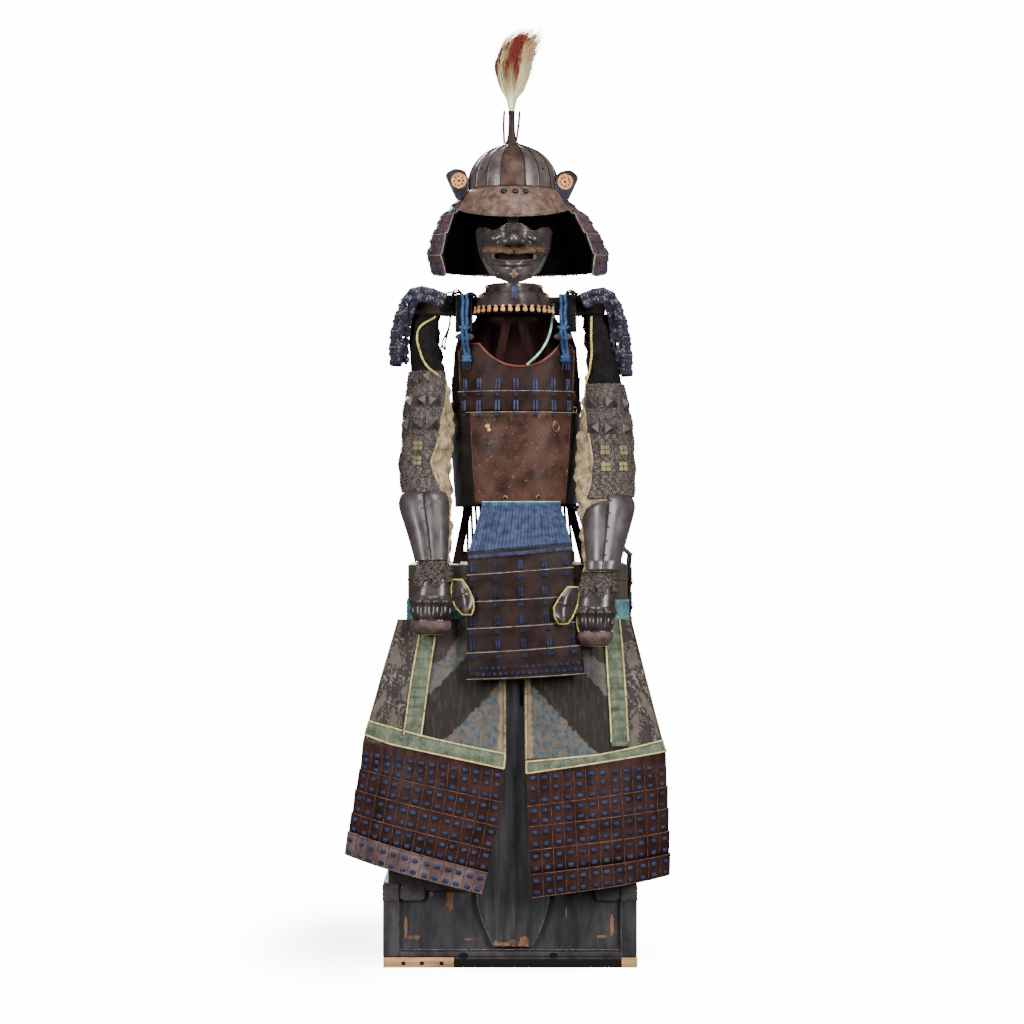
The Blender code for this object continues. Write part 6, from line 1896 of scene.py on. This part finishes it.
def make_hand(side):
    """A plate over the back of the hand with four knuckles, mail at the wrist and a finger roll."""
    hand = HANDS[side]
    high, low = hand[0].z, hand[-1].z
    tall = high - low
    skin = surface(lambda u, v: hand_point(hand, u, high - v * tall), 0.02, 0.01)

    def knuckles(u, v):
        flute = abs(math.sin(math.pi * (u + 0.94) / 1.88 * 4.0)) ** 0.55
        ridge = bump_at(v, 0.55, 0.045) * (0.0030 + 0.0052 * flute)
        fingers = 0.0060 * (flute - 0.35) * bump_at(v, 0.67, 0.095)
        return ridge + fingers - 0.0026 * bump_at(v, 0.80, 0.025)
    relief("hand_plate_" + side, skin, spread(-1.0, 1.0, 72), spread(0.0, 1.0, 64), "hand", "forearm_lacquer",
           knuckles, 0.0002, IRON, nodes=("hand_guard_" + side,), sharp=60.0)
    relief("finger_roll_" + side, skin, spread(-0.99, 0.99, 40), spread(0.815, 1.0, 12), "roll", "brown_leather",
           lambda u, v: 0.0058 * math.sqrt(max(0.0, math.sin(math.pi * (v - 0.805) / 0.205))), 0.0006, IRON)

    def ragged(u):
        return 0.25 + 0.06 * math.sin(u * 7.0) + 0.03 * math.sin(u * 19.0)
    rows = [[skin(u, -0.05 + (ragged(u) + 0.05) * share, 0.0030 + 0.0012 * math.sin(u * 14.0 + share * 20.0))
             for u in spread(-1.0, 1.0, 44)] for share in spread(0.0, 1.0, 16)]
    sheet_of("wrist_mail_" + side, rows, 0.0010, "mail", "mail_cloth")
    links = Spots()
    for row in range(9):
        for i in range(14):
            u = -0.97 + 1.94 * (i + 0.5 * (row % 2)) / 13.5
            v = -0.045 + (ragged(u) + 0.07) * row / 8
            point, right, up, outward = axes_on(skin, u, v, 0.0044 + 0.0010 * math.sin(i * 2.1 + row))
            tilted = (outward + right * (0.6 if (i + row) % 2 else -0.6)).normalized()
            links.add((point, up.cross(tilted).normalized(), up, tilted), (0.0068, 0.0068, 0.0068))
    links.make("wrist_links_" + side, "hoop", "link", "mail_cloth", 8)
    if side == "right":
        rim = [(-1.0, v) for v in spread(0.42, 1.0, 16)] + [(u, 1.0) for u in spread(-0.9, 0.9, 14)]
        rim += [(1.0, v) for v in spread(1.0, 0.80, 6)]
    else:
        rim = [(u, 1.0) for u in spread(-0.9, 0.95, 14)] + [(1.0, v) for v in spread(0.97, 0.84, 4)]
    cords("hand_piping_" + side, [along(skin, rim, 0.001)], 0.0017, "piping", "green_brocade", 8)


def make_thumb(side):
    outer = -1 if side == "left" else 1
    hand = HANDS[side]
    table = THUMBS[side]

    def thumb_point(u, v):
        thumb = between(table, v * (len(table) - 1))
        cut = at_height(hand, thumb.z)
        near = Vector((cut.cx - outer * (cut.half + thumb.away), cut.edge_y - thumb.away, thumb.z))
        far = Vector((thumb.far_x, thumb.far_y, thumb.z))
        share = u if side == "left" else 1.0 - u
        point = near.lerp(far, share)
        point.y -= thumb.bulge * math.sin(math.pi * share)
        return point
    skin = surface(thumb_point, 0.02, 0.01)
    relief("thumb_plate_" + side, skin, spread(0.0, 1.0, 24), spread(0.0, 1.0, 36), "hand", "forearm_lacquer",
           lambda u, v: 0.0014 * bump_at(v, 0.42, 0.04) + 0.0024 * bump_at(v, 0.80, 0.12) * bump_at(u, 0.5, 0.3),
           0.0002, IRON, nodes=("thumb_guard_" + side,), sharp=60.0)
    tip = Spots.on(skin, [(0.55 if side == "left" else 0.45, 0.86, 0.0030, (0.0130, 0.0150, 0.0070))])
    tip.make("thumb_tip_" + side, "ball", "roll", "brown_leather", 16)
    loop = [(u, 0.0) for u in spread(0.0, 1.0, 12)] + [(1.0, v) for v in spread(0.08, 1.0, 14)]
    loop += [(u, 1.0) for u in spread(0.92, 0.0, 12)] + [(0.0, v) for v in spread(0.92, 0.08, 14)]
    cords("thumb_piping_" + side, [along(skin, loop, 0.0008)], 0.0017, "piping", "green_brocade", 8, closed=True)


# Shoulder guards

GUARD_PATHS = {
    "left": ((-0.140, 1.4453), (-0.165, 1.4560), (-0.190, 1.4620), (-0.215, 1.4570), (-0.237, 1.4380),
             (-0.251, 1.4050), (-0.260, 1.3700), (-0.2635, 1.3350), (-0.262, 1.2980)),
    "right": ((0.155, 1.4453), (0.178, 1.4550), (0.202, 1.4590), (0.224, 1.4490), (0.242, 1.4280),
              (0.254, 1.3950), (0.262, 1.3570), (0.2665, 1.3180), (0.2675, 1.2750)),
}


def make_shoulder_guard(side):
    path = GUARD_PATHS[side]
    direction = 1.0 if side == "left" else -1.0

    def point(u, v):
        place = min(max(v, 0.0), len(path) - 1.0)
        low = min(int(place), len(path) - 2)
        part = place - low
        x = path[low][0] + (path[low + 1][0] - path[low][0]) * part
        z = path[low][1] + (path[low + 1][1] - path[low][1]) * part
        hang = unit((place - 3.0) / 3.0)
        wrap = 0.020 * hang * abs(2.0 * u - 1.0) ** 3
        return Vector((x + direction * wrap, direction * (0.062 - 0.124 * u), z))
    skin = surface(point, 0.02, 0.1)
    lames = 8
    rise = lame_rise(0.003)
    across = spread(0.0, 1.0, 26)
    relief("shoulder_lames_" + side, skin, across, lame_places(lames), "blue_black", "black_lacquer", rise,
           nodes=("shoulder_guard_" + side,))
    # painted highlight: light cords along the lames' top edges
    edges = [[skin(u, lame + 0.05, rise(u, lame + 0.05) + 0.0002) for u in across] for lame in range(lames)]
    cords("shoulder_edges_" + side, edges, 0.0011, "lame_edge_highlight", "black_lacquer", 6)
    rims = [[skin(u, v, rise(u, v) + 0.0004) for v in lame_places(lames)] for u in (0.0, 1.0)]
    cords("shoulder_rims_" + side, rims, 0.0014, "hand", "black_lacquer", 6)
    laces = Spots()
    for lame in range(lames):
        for i in range(12):
            u = 0.05 + 0.90 * i / 11
            laces.add(axes_on(skin, u, lame + 0.86, 0.0014), (0.0038, 0.0085, 0.0034))
            laces.add(axes_on(skin, u, lame + 0.38, 0.0024), (0.0038, 0.0060, 0.0032))
    laces.make("shoulder_lacing_" + side, "pad", "grey_cord", "blue_lacing", 1)
    front = 1.0 if side == "left" else 0.0
    plates = Spots()
    ties = Spots()
    for number in range(34):
        v = 0.12 + 0.233 * number
        point, *_, normal = axes_on(skin, front, v)
        tangent = (skin(front, v + 0.1) - skin(front, v - 0.1)).normalized()
        for row in (0, 1):
            lean = (tangent + normal * 0.22 * math.sin(number * 2.7 + row * 1.9)).normalized()
            spot = point - normal * (0.0060 + 0.0155 * row) + FRONT * (0.0035 + 0.002 * math.sin(number * 1.3 + row))
            directions = (lean, FRONT.cross(lean).normalized(), FRONT)
            plates.add((spot, *directions), (0.0150, 0.0205, 0.0050))
            ties.add((spot + tangent * 0.0085 + FRONT * 0.0016, *directions), (0.0050, 0.0090, 0.0046))
    plates.make("shoulder_small_plates_" + side, "pad", "blue_black", "black_lacquer", 1)
    ties.make("shoulder_ties_" + side, "pad", "navy_cord", "blue_lacing", 1)


# Thigh guards

THIGH_LINES = {
    "left": (
        Edge(-0.2310, 0.7700, -0.0110, 0.7700), Edge(-0.2750, 0.6200, -0.0108, 0.6200),
        Edge(-0.3130, 0.4850, -0.0107, 0.4540), Edge(-0.3190, 0.4250, -0.0180, 0.3600),
        Edge(-0.3280, 0.3810, -0.0270, 0.3090), Edge(-0.3360, 0.3310, -0.0370, 0.2590),
        Edge(-0.3440, 0.2900, -0.0475, 0.2110), Edge(-0.3532, 0.2400, -0.0590, 0.1655),
    ),
    "right": (
        Edge(0.0325, 0.7700, 0.2520, 0.7700), Edge(0.0335, 0.6200, 0.2900, 0.6200),
        Edge(0.0345, 0.4520, 0.3320, 0.4620), Edge(0.0370, 0.3500, 0.3350, 0.3880),
        Edge(0.0390, 0.3080, 0.3370, 0.3410), Edge(0.0415, 0.2590, 0.3385, 0.2920),
        Edge(0.0440, 0.2080, 0.3400, 0.2430), Edge(0.0465, 0.1580, 0.3416, 0.1960),
    ),
}
CLOTH_LINES = 2
CLOTH_START = 0.165
THIGH_FRONT = (-0.1709, -0.184, -0.196, -0.206, -0.212, -0.217, -0.221, -0.226)
THIGH_BEND = (0.000, 0.018, 0.046, 0.060, 0.068, 0.076, 0.083, 0.090)


def strip_edges(side, v):
    """The two edges of the upright brocade strip, as shares across the thigh guard."""
    start = 0.22 + 0.03 * v if side == "left" else 0.755 - 0.072 * min(v, 2.0)
    return start, start + 0.150 - 0.014 * v


def thigh_skin(side):
    lines = THIGH_LINES[side]

    def point(u, v):
        line = between(lines, v)
        low = min(int(max(v, 0.0)), len(lines) - 2)
        part = min(max(v, 0.0), len(lines) - 1.0) - low
        front = THIGH_FRONT[low] + (THIGH_FRONT[low + 1] - THIGH_FRONT[low]) * part
        bend = THIGH_BEND[low] + (THIGH_BEND[low + 1] - THIGH_BEND[low]) * part
        outward = 1.0 - u if side == "left" else u
        slack = unit(v) * max(0.0, 1.0 - max(0.0, v - 1.0))
        fold = 0.003 * abs(math.sin(u * 9.0 + v * 1.7)) * slack
        x = line.left_x + (line.right_x - line.left_x) * u
        z = line.left_z + (line.right_z - line.left_z) * u
        return Vector((x, front + bend * outward ** 4 - fold, z))
    return surface(point, 0.01, 0.02)


def cloth_print(side, u, v):
    """Worn cloth: broad dark diagonal bands on a grey ground with blue dye, ordinary leaf shapes outside."""
    inward = u if side == "left" else 1.0 - u
    start, end = strip_edges(side, v)
    if side == "right":
        start, end = 1.0 - end, 1.0 - start
    ground, band, blue = tint(112, 102, 92), tint(44, 40, 36), tint(58, 88, 106)
    pale, leaf = tint(134, 127, 122), tint(62, 55, 52)
    grain = noise.noise(Vector((u * 34.0, v * 14.0, 3.0 if side == "left" else 8.0)))
    fleck = noise.noise(Vector((u * 120.0, v * 60.0, 1.0)))
    if inward < start:
        form = math.sin(inward * 34.0 + 1.6 * math.sin(v * 5.0)) + math.sin(v * 8.5 + 2.4 * math.sin(inward * 19.0))
        form += 0.7 * grain
        if abs(form - 0.1) < 0.11 or abs(form + 0.85) < 0.09:
            return pale
        return leaf if form < 0.75 else ground
    if inward > 0.955 + 0.02 * grain:
        return tint(150, 134, 106)
    across = (inward - end) / (0.955 - end)
    down = v / 1.78
    edge = 0.03 * grain
    upper = 0.72 - 0.67 * across + edge
    lower = 1.23 - 0.63 * across + edge
    if upper <= down <= lower:
        return band
    if math.hypot(across + 0.05, (down - 0.12) * 1.2) < 0.40 + edge:
        return leaf
    dye = 0.55 if down > lower else 0.30
    if fleck + grain * 0.8 > 0.34 - dye * 0.30:
        return blue
    return ground


BAND = {
    # v of the band's upper and lower edge, at its outer and inner end
    "left": ((1.69, 1.965), (1.91, 2.277)),
    "right": ((1.854, 2.09), (2.00, 2.333)),
}


def make_thigh_guard(side):
    skin = thigh_skin(side)
    across = spread(0.0, 1.0, 112)
    down = spread(CLOTH_START, 2.12, 104)

    def crease(u, v):
        wide = math.sin(u * 23.0 + v * 3.0) * math.sin(v * 2.4)
        fine = noise.noise(Vector((u * 16.0, v * 5.0, 5.0)))
        return 0.0012 * wide + 0.0016 * fine - 0.0012
    rows = [[skin(u, v, crease(u, v)) for u in across] for v in down]
    colours = [[cloth_print(side, u, v) for u in across] for v in down]
    cloth = sheet_of("thigh_panel_" + side, rows, 0.0016, "print", "thigh_cloth", ("thigh_cloth_" + side,),
                     colours=colours)
    inner = 1.0 if side == "left" else 0.0
    outer = 1.0 - inner
    for name, u, thick, look in (("inner", inner, 0.0026, "hemp"), ("outer", outer, 0.0016, "patch")):
        edge = along(skin, [(u, v) for v in spread(CLOTH_START, 2.1, 40)], 0.0004)
        cords("thigh_%s_edge_%s" % (name, side), [edge], thick, look, "green_brocade", 8)
    make_trim(side, skin)
    make_scales(side, skin)


def make_trim(side, skin):
    """The upright brocade strip and the band above the lames, both piped."""
    across = spread(0.0, 1.0, 56)

    def band_v(u, edge):
        share = u if side == "left" else 1.0 - u
        first, last = BAND[side][edge]
        return first + (last - first) * share + 0.03 * math.sin(math.pi * share)

    def band_out(v):
        step = unit((v - 1.93) / 0.12)
        return 0.0022 + 0.0042 * step * step * (3.0 - 2.0 * step)
    strip_rows = []
    for v in spread(CLOTH_START, 1.90, 60):
        start, end = strip_edges(side, v)
        ripple = 0.0010 * math.sin(v * 47.0) + 0.0006 * math.sin(v * 91.0)
        strip_rows.append([skin(u, v, 0.0021 + ripple) for u in spread(start, end, 8)])
    strip = sheet_of("strip_" + side, strip_rows, 0.0013, "brocade", "green_brocade", ("thigh_trim_" + side,))
    band_rows = []
    for share in spread(0.0, 1.0, 10):
        row = []
        for u in across:
            v = band_v(u, 0) + (band_v(u, 1) - band_v(u, 0)) * share
            row.append(skin(u, v, band_out(v) + 0.0010 * math.sin(math.pi * share) + 0.0004 * math.sin(u * 90.0)))
        band_rows.append(row)
    band = sheet_of("band_" + side, band_rows, 0.0013, "brocade", "green_brocade")
    pipes = [[skin(strip_edges(side, v)[k], v, 0.0030) for v in spread(CLOTH_START, 1.84, 40)] for k in (0, 1)]
    for edge in (0, 1):
        pipes.append([skin(u, band_v(u, edge), band_out(band_v(u, edge)) + 0.0008) for u in across])
    for u in (1.0, 0.0) if side == "left" else (0.0, 1.0):
        pipes.append([skin(u, v, band_out(v) + 0.0006) for v in spread(band_v(u, 0), band_v(u, 1), 5)])
    cords("trim_piping_" + side, pipes, 0.0019, "cream", "green_brocade", 8)


def make_scales(side, skin):
    """Five rows of laced scales, each standing over the next."""
    def lame_skin(u, v, out=0.0):
        return skin(u, v + CLOTH_LINES + 0.02, out)
    lame_skin.steps = skin.steps
    scales = 13 if side == "left" else 12
    lames = 5

    def rise(u, v):
        lame = min(int(v), lames - 1)
        part = v - lame
        place = min(max(u, 0.0), 0.99999) * scales
        lean = place - int(place)
        top = 0.0012 if lame == 0 else 0.0035
        overlap = lean if side == "left" else 1.0 - lean
        return top * (1.0 - part) + 0.0014 * overlap + 0.0007 * math.sin(math.pi * lean)
    columns = []
    for scale in range(scales):
        columns += [(scale + t) / scales for t in (0.0001, 0.06, 0.25, 0.5, 0.75, 0.94, 0.9999)]
    foot_look = "red_grey" if side == "left" else "red"
    for name, first, last, look in (("upper", 0, 4, "red"), ("foot", 4, 5, foot_look)):
        places = [first - 0.03] * (first > 0) + [v for v in lame_places(lames, 3) if first <= v <= last + 0.0001]
        relief("scales_%s_%s" % (name, side), lame_skin, columns, places, look, "red_lacquer", rise, 0.0026,
               nodes=("thigh_lames_" + side,) if name == "upper" else (), sharp=25.0)
    # painted highlight: light cords along the rows' top edges, the foot and the seams between scales
    edges = []
    for lame in range(1, lames):
        edges.append([lame_skin(u, lame + 0.02, 0.0030 + rise(u, lame + 0.02)) for u in columns])
    edges.append([lame_skin(u, lames - 0.004, 0.0030 + rise(u, lames - 0.004)) for u in columns])
    cords("scale_edges_" + side, edges, 0.0009, "scale_edge_highlight", "red_lacquer", 5)
    seams = []
    for lame in range(lames):
        for scale in range(1, scales):
            u = scale / scales + (0.0012 if side == "right" else -0.0012)
            seams.append([lame_skin(u, v, 0.0028 + rise(u, v)) for v in spread(lame + (0.3 if lame == 0 else 0.04),
                                                                              lame + 0.97, 6)])
    cords("scale_seams_" + side, seams, 0.00055, "scale_edge_highlight", "red_lacquer", 4)
    dots = Spots()
    for lame in range(lames):
        for scale in range(scales):
            for v in (0.42, 0.64, 0.90) if lame == 0 else (0.30, 0.80):
                u = (scale + 0.5 + 0.06 * math.sin(scale * 3.1 + lame)) / scales
                wide = 0.0100 if v == 0.64 else 0.0128
                dots.add(axes_on(lame_skin, u, lame + v, 0.0026 + rise(u, lame + v) + 0.0008),
                         (wide, 0.0096, 0.0046))
    dots.make("scale_lacing_" + side, "pad", "dot_cord", "blue_lacing", 1)


def make_belt():
    out = GAP + 0.0026
    low_x = LID_MIDDLE - LID_HALF_WIDTH - out
    high_x = LID_MIDDLE + LID_HALF_WIDTH + out
    low_y = CHEST_FRONT - out
    high_y = CHEST_BACK + out
    ring = []
    corners = ((low_x, low_y), (high_x, low_y), (high_x, high_y), (low_x, high_y))
    for i, (x, y) in enumerate(corners):
        next_x, next_y = corners[(i + 1) % 4]
        for t in (0.004, 0.02, 0.1, 0.2, 0.3, 0.4, 0.5, 0.6, 0.7, 0.8, 0.9, 0.98, 0.996):
            ring.append(Vector((x + (next_x - x) * t, y + (next_y - y) * t, 0.0)))
    rows = []
    for z, shift in ((0.787, 0.0), (0.782, 0.0005), (0.775, -0.0002), (0.767, 0.0006), (0.760, -0.0003),
                     (0.752, 0.0005), (0.744, 0.0), (0.738, 0.0)):
        rows.append([Vector((p.x * (1 + shift), p.y * (1 + shift * 1.5), z)) for p in ring])
    belt = sheet_of("thigh_belt_cloth", rows, CLOTH, "belt", "belt_cloth", ("thigh_belt",), closed=True)


RING_DEGREES = 36.5
RING_TOP = 1.1658
RING_RADIUS = 0.0088
EYE_RADIUS = 0.0027


def make_swing_ring():
    turn = math.radians(RING_DEGREES)
    outward = Vector((math.sin(turn), -math.cos(turn), 0.0))
    sideways = Vector((math.cos(turn), math.sin(turn), 0.0))
    seat = torso(RING_DEGREES, TORSO_TOP - 1.157)
    pivot = Vector((seat.x, seat.y, RING_TOP)) + outward * 0.0024
    loop = []
    for step in range(40):
        angle = math.tau * step / 40
        loop.append(pivot + (sideways * math.sin(angle) + Vector((0, 0, math.cos(angle)))) * RING_RADIUS
                    - Vector((0, 0, RING_RADIUS)))
    cords("hanging_ring", [loop], 0.0015, "brass", "russet_iron", 10, closed=True, nodes=("swing_ring",),
          body="ring")
    eye = []
    for degrees in spread(-90.0, 90.0, 14):
        lean = math.radians(degrees)
        eye.append(pivot + (outward * math.cos(lean) + Vector((0, 0, math.sin(lean)))) * EYE_RADIUS)
    cords("ring_staple", [[eye[0] - outward * 0.0016] + eye + [eye[-1] - outward * 0.0010]], 0.0008, "steel",
          "russet_iron", 8, nodes=("ring_eye",))
    plate = Spots.on(torso, [(RING_DEGREES, TORSO_TOP - 1.1655, 0.0012, (0.0130, 0.0130, 0.0016))])
    plate.make("ring_washer", "ball", "brass", "russet_iron", 20)


def main():
    make_stage()
    make_green_cord()
    make_chest()
    make_frame_details()
    make_bowl()
    make_brim()
    make_neck_guard()
    make_turn_backs()
    make_crest()
    make_plume()
    make_face_guard()
    make_throat_guard()
    make_breast()
    make_side_plates()
    make_back()
    make_side_loop()
    make_shoulders()
    make_front_skirt()
    make_hidden_skirts()
    for side in SIDES:
        make_sleeve(side)
        make_mail(side)
        make_forearm(side)
        make_hand(side)
        make_thumb(side)
        make_shoulder_guard(side)
    make_belt()
    for side in SIDES:
        make_thigh_guard(side)
    make_swing_ring()


main()
